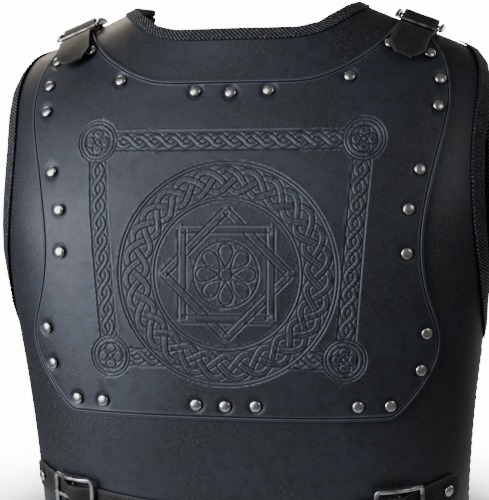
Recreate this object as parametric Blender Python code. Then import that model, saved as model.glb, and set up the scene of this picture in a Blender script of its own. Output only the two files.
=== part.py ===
# A leather breastplate: a front and a back shell of stiff leather, sewn together down the sides and
# buckled over the shoulders, with a riveted chest piece and a buckled waist strap. It stands on its
# hem. The chest faces -Y and the wearer's left is +X. Lengths are in metres and angles in degrees.
# Pieces of the +X side are worked out first, and the other side mirrors them.

import math

import bmesh
import bpy
from mathutils import Matrix, Vector
from mathutils.bvhtree import BVHTree

# Torso form
SHELL_HEIGHT = 0.464        # hem to the neck end of the shoulder
CHEST_HALF_WIDTH = 0.216
CHEST_DEPTH = 0.121         # middle plane to the breast
BACK_DEPTH = 0.112          # middle plane to the back

# Leather and tape
SHELL_WALL = 0.0026
OVERLAY_WALL = 0.0024
STRAP_WALL = 0.0022
CHAPE_WALL = 0.0012
WAIST_STRAP_WALL = 0.0016
TAPE_WALL = 0.0009
ARM_TAPE_WIDTH = 0.0125     # what shows of the tape on each face
NECK_TAPE_WIDTH = 0.009
SEAT_GAP = 0.0003
FACET_ROOM = 0.0003         # more gap where one curved sheet lies on another
BEND_ROOM = 0.0002          # more gap where a bent strap passes a bar
OVERLAY_SEAT = 0.0005       # shell to the chest piece
SIDE_SEAM_GAP = 0.0004

# Outline of the shells
SHOULDER_DROP = 0.037        # neck end of the shoulder down to its arm end
ARMHOLE_DEPTH = 0.237        # from there down to the armpit
FRONT_NECK_DEPTH = 0.023     # neck end of the shoulder down to the neckline's middle
BACK_NECK_DEPTH = 0.045
BACK_SHOULDER_FALL = 0.005   # how much lower the back shell's neck corner is, in line with the front's
FRONT_SHOULDER_EDGE = 0.022  # behind the middle plane
SHOULDER_EDGE_GAP = 0.009    # between the two shells over the shoulder
SHOULDER_END_HEIGHT = SHELL_HEIGHT - SHOULDER_DROP
ARMPIT_HEIGHT = SHOULDER_END_HEIGHT - ARMHOLE_DEPTH

# Chest piece
OVERLAY_BOTTOM = 0.1325     # hem to its lower edge
OVERLAY_DROP = 0.0215       # top of the shell down to the top of its ears
OVERLAY_WIDTH_SHARE = 0.8148  # of the chest's width
OVERLAY_HALF_WIDTH = OVERLAY_WIDTH_SHARE * CHEST_HALF_WIDTH
OVERLAY_HEIGHT = SHELL_HEIGHT - OVERLAY_DROP - OVERLAY_BOTTOM

# Rivets
RIVET_DIAMETER = 0.0095
RIVET_HEIGHT = 0.0024
STRAP_RIVET_SPACING = 0.018
STRAP_RIVET_FROM_END = 0.009

# Shoulder straps
SHOULDER_STRAP_WIDTH = 0.030
SHOULDER_STRAP_SHARE = 0.6736  # of CHEST_HALF_WIDTH, from the middle of the body out to the buckle
SHOULDER_BUCKLE_PLACE = -0.001  # in front of (-) or behind the middle plane
SHOULDER_TIP_LENGTH = 0.063    # from the buckle's centre bar
SHOULDER_TAIL_LENGTH = 0.098   # down the back from the centre bar
SHOULDER_TIP_SHAPE = 0.0095    # how much of the free end is narrowed
TIP_LIFT = 0.0062              # shell to the free end's middle, by the buckle
TIP_LIFT_RISE = 0.0050         # how much more of it at the end
EAR_GAP = 0.0034               # buckle to the chest piece's ear

# Waist strap
WAIST_STRAP_WIDTH = 0.025
WAIST_HEIGHT = 0.046           # strap's middle at the front
WAIST_SIDE_RISE = 0.0115       # how much higher the buckles sit
WAIST_BUCKLE_SHARE = 0.6134    # of CHEST_HALF_WIDTH, from the middle of the body out to the buckle
WAIST_BUCKLE_PLACE = WAIST_BUCKLE_SHARE * CHEST_HALF_WIDTH
WAIST_TAB_LENGTH = 0.0615      # from the buckle's centre bar to the tab's end
WAIST_RIVET_FROM_END = 0.0145
WAIST_TAB_SHAPE = 0.010        # how much of the tab's end is narrowed

# Buckles
BUCKLE_LENGTH = 0.040
BUCKLE_BAR = 0.004
BUCKLE_EDGE = 0.0022           # thickness at the two end bars
BUCKLE_ARCH = 0.0040           # how far the side bars rise above that
BUCKLE_BEVEL = 0.0009
BUCKLE_SIDE_ROOM = 0.0020      # strap edge to side bar
CENTRE_BAR_RADIUS = 0.0015
TONGUE_WIDTH = 0.0032
TONGUE_WALL = 0.0012
HOLE_ROOM = 0.0007
SHOULDER_BUCKLE_LIFT = 0.0029  # shell to the frame's underside
WAIST_BUCKLE_LIFT = 0.0044

# Torso sections from the hem up. Columns: height as a share of SHELL_HEIGHT, half width of
# CHEST_HALF_WIDTH, depth of CHEST_DEPTH in front and of BACK_DEPTH behind, how far the section sits
# back as a share of CHEST_DEPTH, and squareness, the exponent of the rounded outline.
TORSO_SECTIONS = [
    (0.000, 0.861, 0.876, 0.000, 2.60),
    (0.119, 0.872, 0.920, 0.000, 2.65),
    (0.291, 0.898, 1.000, 0.000, 2.80),
    (0.463, 0.949, 0.983, 0.000, 3.00),
    (0.625, 1.000, 0.926, 0.000, 3.10),
    (0.744, 0.995, 0.793, 0.000, 2.85),
    (0.851, 0.968, 0.674, 0.050, 2.50),
    (0.905, 0.912, 0.636, 0.107, 2.20),
    (0.938, 0.775, 0.579, 0.099, 2.00),
    (0.970, 0.597, 0.496, 0.058, 2.00),
    (1.000, 0.449, 0.430, 0.017, 2.00),
    (1.034, 0.278, 0.372, 0.000, 2.00),
]

# Armhole edges. Columns: height as a share of the way from armpit to shoulder end, then the angle
# round the torso from the middle of the front, and from the middle of the back.
ARMHOLE = [
    (0.02, 80.5, 82.0),
    (0.06, 74.5, 77.5),
    (0.14, 68.5, 73.0),
    (0.25, 62.0, 67.5),
    (0.40, 56.5, 63.5),
    (0.50, 56.5, 62.5),
    (0.62, 57.5, 62.8),
    (0.74, 62.0, 64.5),
    (0.835, 69.0, 67.5),
    (0.89, 74.0, 70.0),
    (0.933, 79.5, 72.0),
    (0.97, 83.5, 73.5),
]

# Necklines. Columns: height as a share of the way from the neckline's middle to SHELL_HEIGHT, angle.
FRONT_NECKLINE = [(0.0, 0.0), (0.0, 19.0), (0.07, 25.0), (0.40, 36.0), (0.63, 46.5), (0.84, 60.0), (1.0, 88.0)]
BACK_NECKLINE = [(0.0, 0.0), (0.03, 14.0), (0.16, 26.0), (0.50, 40.0)]

# Side of the chest piece. Columns: height as a share of OVERLAY_HEIGHT, half width of OVERLAY_HALF_WIDTH.
OVERLAY_SIDE = [
    (0.000, 0.750),
    (0.021, 0.795),
    (0.060, 0.844),
    (0.121, 0.915),
    (0.173, 0.950),
    (0.218, 0.952),
    (0.289, 0.900),
    (0.379, 0.870),
    (0.460, 0.865),
    (0.605, 0.909),
    (0.705, 0.955),
    (0.795, 0.990),
    (0.850, 1.000),
    (0.876, 0.972),
]
# Top of the chest piece, from below each ear to the middle, in the same shares.
OVERLAY_TOP = [(0.950, 0.668), (0.918, 0.585), (0.884, 0.480), (0.864, 0.395), (0.860, 0.340), (0.860, 0.0)]
# A place on the outer edge between the side and the ear's end.
OVERLAY_EAR = (0.915, 0.945)

# Chest rivets beside a shoulder strap's free end: how far along the strap from its buckle's centre
# bar, and how far to the inner (-) or outer side of its middle.
TIP_RIVETS = [(0.0523, -0.0132), (0.0453, 0.0188)]
# The other chest rivets, in the chest piece's shares: height, place on the left, on the right. They
# were set by hand, so the sides aren't quite alike.
SIDE_RIVETS = [
    (0.862, 0.536, 0.529),
    (0.852, 0.933, 0.902),
    (0.783, 0.926, 0.895),
    (0.627, 0.852, 0.837),
    (0.531, 0.807, 0.787),
    (0.422, 0.799, 0.779),
    (0.220, 0.880, 0.858),
    (0.126, 0.855, 0.833),
    (0.038, 0.726, 0.707),
    (0.038, 0.588, 0.576),
    (0.831, 0.174, 0.165),
    (0.038, 0.138, 0.133),
]
# Heights of the middle ones.
MIDDLE_RIVETS = [0.826, 0.036]

FRONT_COLUMNS = 24
BACK_COLUMNS = 18
SEAM_ROWS = 4
ARMHOLE_ROWS = 12
SHOULDER_ROWS = 3
OVERLAY_COLUMNS = 20
OVERLAY_ROWS = 11
EAR_ROWS = 4
RIVET_SIDES = 8
STRAP_STEPS = 29
TAB_STEPS = 24
RISE_STEPS = 240   # of the table of lengths up the torso's side
WALK_STEP = 0.003  # along the torso under a strap
PROBE = 0.02       # how far off the torso its facets are looked for

BLACK_LEATHER = ("black_leather", (0.045, 0.048, 0.056), 0.45, 0.0)
TOOLED_LEATHER = ("tooled_leather", (0.050, 0.053, 0.062), 0.42, 0.0)
STRAP_LEATHER = ("strap_leather", (0.055, 0.053, 0.052), 0.50, 0.0)
BLACK_TAPE = ("black_tape", (0.030, 0.030, 0.031), 0.85, 0.0)
AGED_NICKEL = ("aged_nickel", (0.42, 0.42, 0.40), 0.32, 1.0)


# Helpers for smooth tables and paths

def blend(rows, column, height):
    """A smooth value from a table, with no overshoot between its rows."""
    places = [row[0] for row in rows]
    values = [row[column] for row in rows]
    steps = [places[i + 1] - places[i] for i in range(len(rows) - 1)]
    slopes = [(values[i + 1] - values[i]) / steps[i] for i in range(len(rows) - 1)]
    tangents = [slopes[0]]
    for i in range(1, len(rows) - 1):
        if slopes[i - 1] * slopes[i] <= 0:
            tangents.append(0.0)
        else:
            before = 2 * steps[i] + steps[i - 1]
            after = steps[i] + 2 * steps[i - 1]
            tangents.append((before + after) / (before / slopes[i - 1] + after / slopes[i]))
    tangents.append(slopes[-1])
    i = max(j for j in range(len(steps)) if j == 0 or places[j] <= height)
    s = min(max((height - places[i]) / steps[i], 0.0), 1.0)
    return ((1 + 2 * s) * (1 - s) ** 2 * values[i] + s * (1 - s) ** 2 * steps[i] * tangents[i]
            + s * s * (3 - 2 * s) * values[i + 1] + s * s * (s - 1) * steps[i] * tangents[i + 1])


def rounded(points, pieces=8):
    """Points along a smooth curve through the given ones, which may have two or three coordinates."""
    points = [Vector(point) for point in points]
    curve = [points[0]]
    for i in range(len(points) - 1):
        before = points[i - 1] if i else points[i] * 2 - points[i + 1]
        after = points[i + 2] if i + 2 < len(points) else points[i + 1] * 2 - points[i]
        start, end = points[i], points[i + 1]
        span = (end - start).length
        lead = (end - before) / max((start - before).length + span, 1e-9) * span
        trail = (after - start) / max((after - end).length + span, 1e-9) * span
        for k in range(1, pieces + 1):
            s = k / pieces
            curve.append((1 + 2 * s) * (1 - s) ** 2 * start + s * (1 - s) ** 2 * lead
                         + s * s * (3 - 2 * s) * end + s * s * (s - 1) * trail)
    return curve


def evenly(points, count):
    """The same path as count steps of equal length."""
    lengths = [0.0]
    for i in range(1, len(points)):
        lengths.append(lengths[-1] + (points[i] - points[i - 1]).length)
    steps = []
    at = 0
    for k in range(count + 1):
        wanted = lengths[-1] * k / count
        while at < len(points) - 2 and lengths[at + 1] < wanted:
            at += 1
        share = (wanted - lengths[at]) / max(lengths[at + 1] - lengths[at], 1e-12)
        steps.append(points[at].lerp(points[at + 1], min(max(share, 0.0), 1.0)))
    return steps


# The torso's surface

def section(height):
    """Half width, front depth, back depth, set-back and squareness of the torso at a height."""
    share = height / SHELL_HEIGHT
    width, depth, back, squareness = (blend(TORSO_SECTIONS, column, share) for column in (1, 2, 3, 4))
    return width * CHEST_HALF_WIDTH, depth * CHEST_DEPTH, depth * BACK_DEPTH, back * CHEST_DEPTH, squareness


def torso(angle, height):
    """A point on the torso, at an angle round it from the middle of the front."""
    width, front, back, behind, squareness = section(height)
    across, ahead = math.sin(math.radians(angle)), math.cos(math.radians(angle))
    reach = (abs(across) ** squareness + abs(ahead) ** squareness) ** (-1 / squareness)
    depth = front if ahead > 0 else back
    return Vector((width * across * reach, behind - depth * ahead * reach, height))


def normal_at(angle, height):
    round_it = torso(angle + 0.2, height) - torso(angle - 0.2, height)
    up_it = torso(angle, height + 0.0002) - torso(angle, height - 0.0002)
    return round_it.cross(up_it).normalized()


def angle_of(point):
    width, front, back, behind, squareness = section(point.z)
    depth = front if point.y < behind else back
    return math.degrees(math.atan2(point.x / width, (behind - point.y) / depth))


def angle_at_x(x, height):
    """The front angle whose point lies x from the middle."""
    width, front, back, behind, squareness = section(height)
    share = min(abs(x) / width, 0.9999)
    ahead = (1 - share ** squareness) ** (1 / squareness)
    return math.copysign(math.degrees(math.atan2(share, ahead)), x)


def angle_at_y(y, height):
    """The angle whose point lies at y, behind the section's widest place."""
    width, front, back, behind, squareness = section(height)
    share = min(max((y - behind) / back, -0.9999), 0.9999)
    across = (1 - abs(share) ** squareness) ** (1 / squareness)
    return 90 + math.degrees(math.atan2(share, across))


def outside(point):
    """Over zero outside the torso, under zero inside."""
    width, front, back, behind, squareness = section(point.z)
    depth = front if point.y < behind else back
    return abs(point.x / width) ** squareness + abs((point.y - behind) / depth) ** squareness - 1


def landed(point, direction, reach=0.03):
    """Where a line through a point along a direction meets the torso, coming from outside."""
    near, far = -reach, reach
    for _ in range(40):
        middle = (near + far) / 2
        if outside(point + direction * middle) > 0:
            far = middle
        else:
            near = middle
    return point + direction * (near + far) / 2


def surface_normal(point):
    return normal_at(angle_of(point), point.z)


def walk(start, heading, across, distance):
    """Points along the torso from a start, a step apart, kept in the plane square to across."""
    points = [start.copy()]
    while WALK_STEP * (len(points) - 1) < distance - 1e-9:
        length = min(WALK_STEP, distance - WALK_STEP * (len(points) - 1))
        normal = surface_normal(points[-1])
        heading = heading - normal * heading.dot(normal)
        heading = (heading - across * heading.dot(across)).normalized()
        ahead = landed(points[-1] + heading * length, normal, 0.01)
        heading = (ahead - points[-1]).normalized()
        points.append(ahead)
    return points


SHELLS = []  # the finished shells, as trees of their facets
CHEST = []   # the chest piece, in the same form
RIVETS = []  # its rivets


def facet_height(point, normal, trees=SHELLS):
    """How far facets stand above a point near the torso."""
    high = point + normal * PROBE
    hits = [tree.ray_cast(high, -normal, 2 * PROBE)[0] for tree in trees]
    return max([(hit - point).dot(normal) for hit in hits if hit] + [-PROBE])


def seat_height(point, normal):
    return facet_height(point, normal, SHELLS + CHEST + RIVETS)


def facet_depth(point, normal):
    """How far the shells' inner facets lie below a point near them."""
    low = point - normal * PROBE
    hits = [tree.ray_cast(low, normal, 2 * PROBE)[0] for tree in SHELLS]
    return max([(point - hit).dot(normal) for hit in hits if hit] + [-PROBE])


# Places in a triangle, as shares of the ways to two corners from the third.
TRIANGLE_TESTS = [(a / 5, b / 5) for a in range(6) for b in range(6 - a)]


def shortfall(corners, normal, gap, reach):
    """How far a facet between four corners has to move, either way that it is split, to keep a gap."""
    tests = []
    for k in range(4):
        first, second, third = corners[k], corners[k - 1], corners[k - 2]
        tests += [third + (first - third) * a + (second - third) * b for a, b in TRIANGLE_TESTS]
    return max(reach(test, normal) for test in tests) + gap


def settled(rows, gap, below=False):
    """Rows of points, moved off the shells until the sheet through them clears the facets by a gap."""
    rows = [[point.copy() for point in row] for row in rows]
    normals = [[surface_normal(point) for point in row] for row in rows]
    reach = facet_depth if below else facet_height
    away = -1 if below else 1
    for _ in range(4):
        for i in range(len(rows) - 1):
            for j in range(len(rows[0]) - 1):
                corners = [(i, j), (i, j + 1), (i + 1, j + 1), (i + 1, j)]
                short = shortfall([rows[a][b] for a, b in corners], normals[i][j], gap, reach)
                if short > 0:
                    for a, b in corners:
                        rows[a][b] += normals[a][b] * short * away
    return rows


def lifted_by(points, lift):
    return [point + surface_normal(point) * lift for point in points]


def lifted(points, lift, half_width=0.0, across=None):
    """Points on the torso moved off it, and off the facets under a strap of that width."""
    moved = []
    for point in points:
        normal = surface_normal(point)
        over = across - normal * across.dot(normal) if across else Vector()
        places = [point + over * half_width * share for share in (-1, -0.5, 0, 0.5, 1)]
        highest = max((place - point).dot(normal) + facet_height(place, normal) for place in places)
        moved.append(point + normal * (lift + max(highest, 0)))
    return moved


# Making solids

def material(finish):
    name, colour, roughness, metallic = finish
    made = bpy.data.materials.get(name) or bpy.data.materials.new(name)
    made.use_nodes = True
    made.diffuse_color = (*colour, 1)
    shader = made.node_tree.nodes["Principled BSDF"]
    shader.inputs["Base Color"].default_value = (*colour, 1)
    shader.inputs["Roughness"].default_value = roughness
    shader.inputs["Metallic"].default_value = metallic
    return made


def solid(name, points, faces, finish, side=1, sharp=40, trees=None):
    """One closed object. A side of -1 mirrors it to the wearer's right."""
    mesh = bpy.data.meshes.new(name)
    form = bmesh.new()
    corners = [form.verts.new((point[0] * side, point[1], point[2])) for point in points]
    for face in faces:
        form.faces.new([corners[i] for i in face])
    bmesh.ops.recalc_face_normals(form, faces=form.faces)
    bmesh.ops.triangulate(form, faces=form.faces, quad_method="SHORT_EDGE")
    if trees is not None:
        trees.append(BVHTree.FromBMesh(form))
    form.to_mesh(mesh)
    form.free()
    mesh.shade_smooth()
    mesh.set_sharp_from_angle(angle=math.radians(sharp))
    mesh.materials.append(material(finish))
    made = bpy.data.objects.new(name, mesh)
    bpy.context.scene.collection.objects.link(made)
    return made


def helper(name, points, faces, side):
    """A cutter or an added bar, which is only used by a Boolean."""
    made = solid(name, points, faces, AGED_NICKEL, side)
    made.hide_render = True
    made.display_type = "WIRE"
    return made


def combine(body, other, operation):
    joined = body.modifiers.new(operation.lower(), "BOOLEAN")
    joined.operation = operation
    joined.object = other


def shell(outer, inner):
    """Points and faces of a wall between two grids of rows."""
    rows, columns = len(outer), len(outer[0])
    points = [point for row in outer for point in row] + [point for row in inner for point in row]
    back = rows * columns
    faces = []
    for i in range(rows - 1):
        for j in range(columns - 1):
            a, b, c, d = i * columns + j, i * columns + j + 1, (i + 1) * columns + j + 1, (i + 1) * columns + j
            faces.append((a, b, c, d))
            faces.append((back + a, back + d, back + c, back + b))
    edge = list(range(columns))
    edge += [i * columns + columns - 1 for i in range(1, rows)]
    edge += [(rows - 1) * columns + j for j in range(columns - 2, -1, -1)]
    edge += [i * columns for i in range(rows - 2, 0, -1)]
    for k, a in enumerate(edge):
        b = edge[(k + 1) % len(edge)]
        faces.append((a, back + a, back + b, b))
    return points, faces


def swept(profiles, ring=False):
    """Points and faces of a bar through profiles of equal counts, closed at its ends or into a ring."""
    size = len(profiles[0])
    points = [point for profile in profiles for point in profile]
    faces = []
    last = len(profiles) if ring else len(profiles) - 1
    for i in range(last):
        after = (i + 1) % len(profiles)
        for j in range(size):
            k = (j + 1) % size
            faces.append((i * size + j, i * size + k, after * size + k, after * size + j))
    if not ring:
        faces.append(tuple(range(size)))
        faces.append(tuple(reversed(range(last * size, last * size + size))))
    return points, faces


def patch(bottom, top, left, right):
    """Rows of points filling four edges: bottom and top run left to right, left and right run up.
    A row's share of the top edge goes by its height on the right edge."""
    rows = []
    for i in range(len(left)):
        up = (right[i][1] - right[0][1]) / (right[-1][1] - right[0][1])
        row = []
        for j in range(len(bottom)):
            over = j / (len(bottom) - 1)
            corners = ((1 - over) * (1 - up) * bottom[0] + over * (1 - up) * bottom[-1]
                       + (1 - over) * up * top[0] + over * up * top[-1])
            row.append((1 - up) * bottom[j] + up * top[j] + (1 - over) * left[i] + over * right[i] - corners)
        rows.append(row)
    return rows


def mirrored(points):
    return [Vector((-point[0], *point[1:])) for point in points]


# Shells. Their outlines are worked out as angle and rise, where rise is the length along the
# torso's side from the hem, so that steps over the shoulder are as long as those below.

def rise_rows():
    """Rows of (rise, height), from the hem to a little above the shoulder."""
    rows = [(0.0, 0.0)]
    for step in range(1, RISE_STEPS + 1):
        high = RISE_REACH * step / RISE_STEPS
        low = rows[-1][1]
        length = math.hypot(high - low, section(high)[0] - section(low)[0])
        rows.append((rows[-1][0] + length, high))
    return rows


RISE_REACH = 1.03 * SHELL_HEIGHT
RISE_TABLE = rise_rows()


def rise_of(height):
    at = min(int(height / RISE_REACH * RISE_STEPS), RISE_STEPS - 1)
    low, high = RISE_TABLE[at], RISE_TABLE[at + 1]
    return low[0] + (high[0] - low[0]) * (height - low[1]) / (high[1] - low[1])


def height_of(rise):
    at = max(k for k in range(RISE_STEPS) if k == 0 or RISE_TABLE[k][0] <= rise)
    low, high = RISE_TABLE[at], RISE_TABLE[at + 1]
    return low[1] + (high[1] - low[1]) * (rise - low[0]) / (high[0] - low[0])


def panel_edges(facing):
    """Edge curves of a shell as (angle, rise): the side seam, armhole, shoulder edge and neckline."""
    front = facing == "front"
    edge_y = FRONT_SHOULDER_EDGE if front else FRONT_SHOULDER_EDGE + SHOULDER_EDGE_GAP
    top = SHELL_HEIGHT if front else SHELL_HEIGHT - BACK_SHOULDER_FALL

    def shoulder_angle(height):
        angle = angle_at_y(edge_y, height)
        return angle if front else 180 - angle

    seam = []
    for k in range(SEAM_ROWS + 1):
        height = ARMPIT_HEIGHT * k / SEAM_ROWS
        depth = section(height)[1 if front else 2]
        seam.append(Vector((90 - math.degrees(SIDE_SEAM_GAP / 2 / depth), rise_of(height))))
    climb = SHOULDER_END_HEIGHT - ARMPIT_HEIGHT
    armhole = [seam[-1]]
    for share, front_angle, back_angle in ARMHOLE:
        angle = front_angle if front else back_angle
        armhole.append(Vector((angle, rise_of(ARMPIT_HEIGHT + share * climb))))
    armhole.append(Vector((shoulder_angle(SHOULDER_END_HEIGHT), rise_of(SHOULDER_END_HEIGHT))))
    shoulder = []
    for k in range(9):
        height = SHOULDER_END_HEIGHT + (top - SHOULDER_END_HEIGHT) * k / 8
        shoulder.append(Vector((shoulder_angle(height), rise_of(height))))
    middle = SHELL_HEIGHT - (FRONT_NECK_DEPTH if front else BACK_NECK_DEPTH)
    neck = []
    for share, angle in (FRONT_NECKLINE if front else BACK_NECKLINE):
        neck.append(Vector((angle, rise_of(middle + share * (top - middle)))))
    neck.append(shoulder[-1])
    return {"seam": seam, "armhole": armhole, "shoulder": shoulder, "neck": neck}


def scaled_steps(points, count):
    """Even steps along an (angle, rise) path, measured with a degree as the length that it covers."""
    per_degree = math.radians(1) * (CHEST_HALF_WIDTH + CHEST_DEPTH) / 2
    stretched = [Vector((point[0] * per_degree, point[1])) for point in rounded(points)]
    return [Vector((point[0] / per_degree, point[1])) for point in evenly(stretched, count)]


def columns_of(facing):
    return FRONT_COLUMNS if facing == "front" else BACK_COLUMNS


def panel_grid(facing):
    """The shell's grid of (angle, height), its rows from the hem up."""
    columns = columns_of(facing)
    edges = panel_edges(facing)
    side = scaled_steps(edges["seam"], SEAM_ROWS)
    side += scaled_steps(edges["armhole"], ARMHOLE_ROWS)[1:]
    side += scaled_steps(edges["shoulder"], SHOULDER_ROWS)[1:]
    half_top = scaled_steps(edges["neck"], columns // 2)
    top = mirrored(half_top[::-1]) + half_top[1:]
    bottom = [Vector((side[0][0] * (2 * j / columns - 1), 0.0)) for j in range(columns + 1)]
    grid = patch(bottom, top, mirrored(side), side)
    return [[(point[0], height_of(point[1])) for point in row] for row in grid]


def panel(name, facing):
    """A shell's wall. Its hem is cut level."""
    outer, inner = [], []
    for row in panel_grid(facing):
        outer_row, inner_row = [], []
        for angle, height in row:
            if facing == "back":
                angle = 180 - angle
            height = max(height, 0.0)
            point = torso(angle, height)
            normal = normal_at(angle, height + 0.0002)
            if height < 1e-6:
                normal.z = 0
                normal.normalize()
            outer_row.append(point)
            inner_row.append(point - normal * SHELL_WALL)
        outer.append(outer_row)
        inner.append(inner_row)
    return solid(name, *shell(outer, inner), BLACK_LEATHER, trees=SHELLS)


# Tape folded over an edge

def binding(name, edge, inward, width, side=1):
    """Tape over the shell's edge: edge points on the torso, and directions that lead into the shell."""
    rims, ends, normals = [], [], []
    for point, into in zip(edge, inward):
        normal = surface_normal(point)
        into = (into - normal * into.dot(normal)).normalized()
        end = landed(point + into * width, normal, width)
        rims.append(point - into * (SEAT_GAP + 2 * FACET_ROOM))
        ends.append(end)
        normals.append((normal, surface_normal(end)))
    gap = SEAT_GAP + FACET_ROOM
    top = [[rim + normal * gap for rim, (normal, _) in zip(rims, normals)],
           [end + normal * gap for end, (_, normal) in zip(ends, normals)]]
    deep = SHELL_WALL + gap
    bottom = [[rim - normal * deep for rim, (normal, _) in zip(rims, normals)],
              [end - normal * deep for end, (_, normal) in zip(ends, normals)]]
    top, bottom = settled(top, SEAT_GAP), settled(bottom, SEAT_GAP, below=True)
    profiles = []
    for k, (normal, end_normal) in enumerate(normals):
        out = (rims[k] - edge[k]).normalized() * TAPE_WALL
        profiles.append([
            top[1][k],
            top[0][k],
            bottom[0][k],
            bottom[1][k],
            bottom[1][k] - end_normal * TAPE_WALL,
            bottom[0][k] - normal * TAPE_WALL,
            bottom[0][k] + out,
            top[0][k] + out,
            top[0][k] + normal * TAPE_WALL,
            top[1][k] + end_normal * TAPE_WALL,
        ])
    return solid(name, *swept(profiles), BLACK_TAPE, side, sharp=50)


def directions(edge, hint):
    """At each edge point, the direction square to the edge on the side of the hint point."""
    found = []
    for k, point in enumerate(edge):
        along = (edge[min(k + 1, len(edge) - 1)] - edge[max(k - 1, 0)]).normalized()
        into = surface_normal(point).cross(along)
        if into.dot(hint(point) - point) < 0:
            into = -into
        found.append(into)
    return found


def on_torso(point, facing):
    angle = point[0] if facing == "front" else 180 - point[0]
    return torso(angle, height_of(point[1]))


def neck_binding(name, facing):
    half = scaled_steps(panel_edges(facing)["neck"], columns_of(facing) // 2)
    edge = [on_torso(point, facing) for point in mirrored(half[::-1]) + half[1:]]
    into = directions(edge, lambda point: Vector((point.x * 1.3, point.y * 1.3, point.z - 0.05)))
    return binding(name, edge, into, NECK_TAPE_WIDTH)


def armhole_binding(name, side):
    front = scaled_steps(panel_edges("front")["armhole"], ARMHOLE_ROWS)
    back = scaled_steps(panel_edges("back")["armhole"], ARMHOLE_ROWS)
    edge = [on_torso(point, "front") for point in front[::-1]]
    edge[-1] = torso(90, ARMPIT_HEIGHT)
    edge += [on_torso(point, "back") for point in back[1:]]

    def into_shell(point):
        middle = Vector((0, point.y * 2, point.z))
        return middle if point.z > ARMPIT_HEIGHT + ARMHOLE_DEPTH / 8 else point - Vector((0, 0, 1))

    return binding(name, edge, directions(edge, into_shell), ARM_TAPE_WIDTH, side)


# Chest piece

def overlay_point(share_up, share_out):
    """A place on the chest piece as x and height."""
    return Vector((share_out * OVERLAY_HALF_WIDTH, OVERLAY_BOTTOM + share_up * OVERLAY_HEIGHT))


def chest_overlay(ear_outer, ear_inner):
    """The chest piece, whose ears end at two given places on the shell."""
    side = rounded([overlay_point(*row) for row in OVERLAY_SIDE])
    ear = rounded([side[-1], overlay_point(*OVERLAY_EAR), Vector((ear_outer.x, ear_outer.z))])
    side = evenly(side, OVERLAY_ROWS) + evenly(ear, EAR_ROWS)[1:]
    slope = rounded([Vector((ear_inner.x, ear_inner.z))] + [overlay_point(*row) for row in OVERLAY_TOP])
    half = OVERLAY_COLUMNS // 2
    ear_columns = 3
    ear_edge = [side[-1].lerp(slope[0], k / ear_columns) for k in range(ear_columns + 1)]
    left_top = ear_edge + evenly(slope, half - ear_columns)[1:]
    top = mirrored(left_top) + left_top[-2::-1]
    # Columns are closer towards the sides, where the chest bends most.
    shares = [k / half for k in range(half + 1)]
    shares = [(share + math.sin(share * math.pi / 2)) / 2 for share in shares]
    bottom = [Vector((side[0][0] * share, OVERLAY_BOTTOM)) for share in shares]
    bottom = mirrored(bottom[::-1]) + bottom[1:]
    inner = []
    for row in patch(bottom, top, mirrored(side), side):
        inner.append(lifted([torso(angle_at_x(x, height), height) for x, height in row], OVERLAY_SEAT))
    inner = settled(inner, SEAT_GAP)
    outer = [lifted_by(row, OVERLAY_WALL) for row in inner]
    return solid("chest_overlay", *shell(outer, inner), TOOLED_LEATHER, trees=CHEST)


# Rivets

def rivet(name, seat, normal, side=1, trees=None):
    """A domed cap on a given seat."""
    radius = RIVET_DIAMETER / 2
    levels = [(0.97, 0.0), (1.0, 0.25), (0.60, 0.90)]
    across = normal.orthogonal().normalized()
    other = normal.cross(across)
    profiles = []
    for share, up in levels:
        ring = []
        for k in range(RIVET_SIDES):
            turn = 2 * math.pi * k / RIVET_SIDES
            spoke = across * math.cos(turn) + other * math.sin(turn)
            ring.append(seat + spoke * radius * share + normal * RIVET_HEIGHT * up)
        profiles.append(ring)
    return solid(name, *swept(profiles), AGED_NICKEL, side, sharp=60, trees=trees)


def on_chest(place):
    """The seat of a rivet's foot over a place on the torso, clear of the chest piece's facets there
    and at the mirrored place, since its facets aren't split alike on both sides."""
    normal = surface_normal(place)
    across = normal.orthogonal().normalized() * RIVET_DIAMETER / 2
    tests = [place] + [place + Matrix.Rotation(math.radians(45 * k), 3, normal) @ across for k in range(8)]
    heights = [facet_height(test, normal, CHEST) for test in tests]
    *other_tests, other_normal = mirrored([*tests, normal])
    heights += [facet_height(test, other_normal, CHEST) for test in other_tests]
    return place + normal * (max(heights) + SEAT_GAP)


def chest_rivets(strap):
    """Rivets of both sides and the middle. Strap is the seat of the shoulder strap's buckle."""
    for side, word in ((1, "left"), (-1, "right")):
        seats = []
        for reach, aside in TIP_RIVETS:
            foot = walk(strap.origin, strap.ahead, strap.across, reach)[-1]
            seats.append(landed(foot + strap.across * aside, surface_normal(foot)))
        for up, left, right in SIDE_RIVETS:
            place = overlay_point(up, left if side > 0 else right)
            seats.append(torso(angle_at_x(place[0], place[1]), place[1]))
        for number, seat in enumerate(seats, 1):
            rivet(f"chest_rivet_{word}_{number:02d}", on_chest(seat), surface_normal(seat), side, RIVETS)
    for number, up in enumerate(MIDDLE_RIVETS, 1):
        seat = torso(0, overlay_point(up, 0)[1])
        rivet(f"chest_rivet_middle_{number}", on_chest(seat), surface_normal(seat))


# Straps and buckles. Each buckle has a frame of directions: ahead, towards the strap's free tip,
# across the strap, and up, off the shell. Its origin is on the shell under the centre bar.

def ribbon(path, overs, half_widths, wall):
    """Profiles of a flat strap along a path, its thickness square to the path and to overs."""
    profiles = []
    for k, point in enumerate(path):
        along = (path[min(k + 1, len(path) - 1)] - path[max(k - 1, 0)]).normalized()
        over = (overs[k] - along * overs[k].dot(along)).normalized()
        wide, thick = over * half_widths[k], along.cross(over) * wall / 2
        profiles.append([point - wide - thick, point + wide - thick, point + wide + thick, point - wide + thick])
    return profiles


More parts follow.
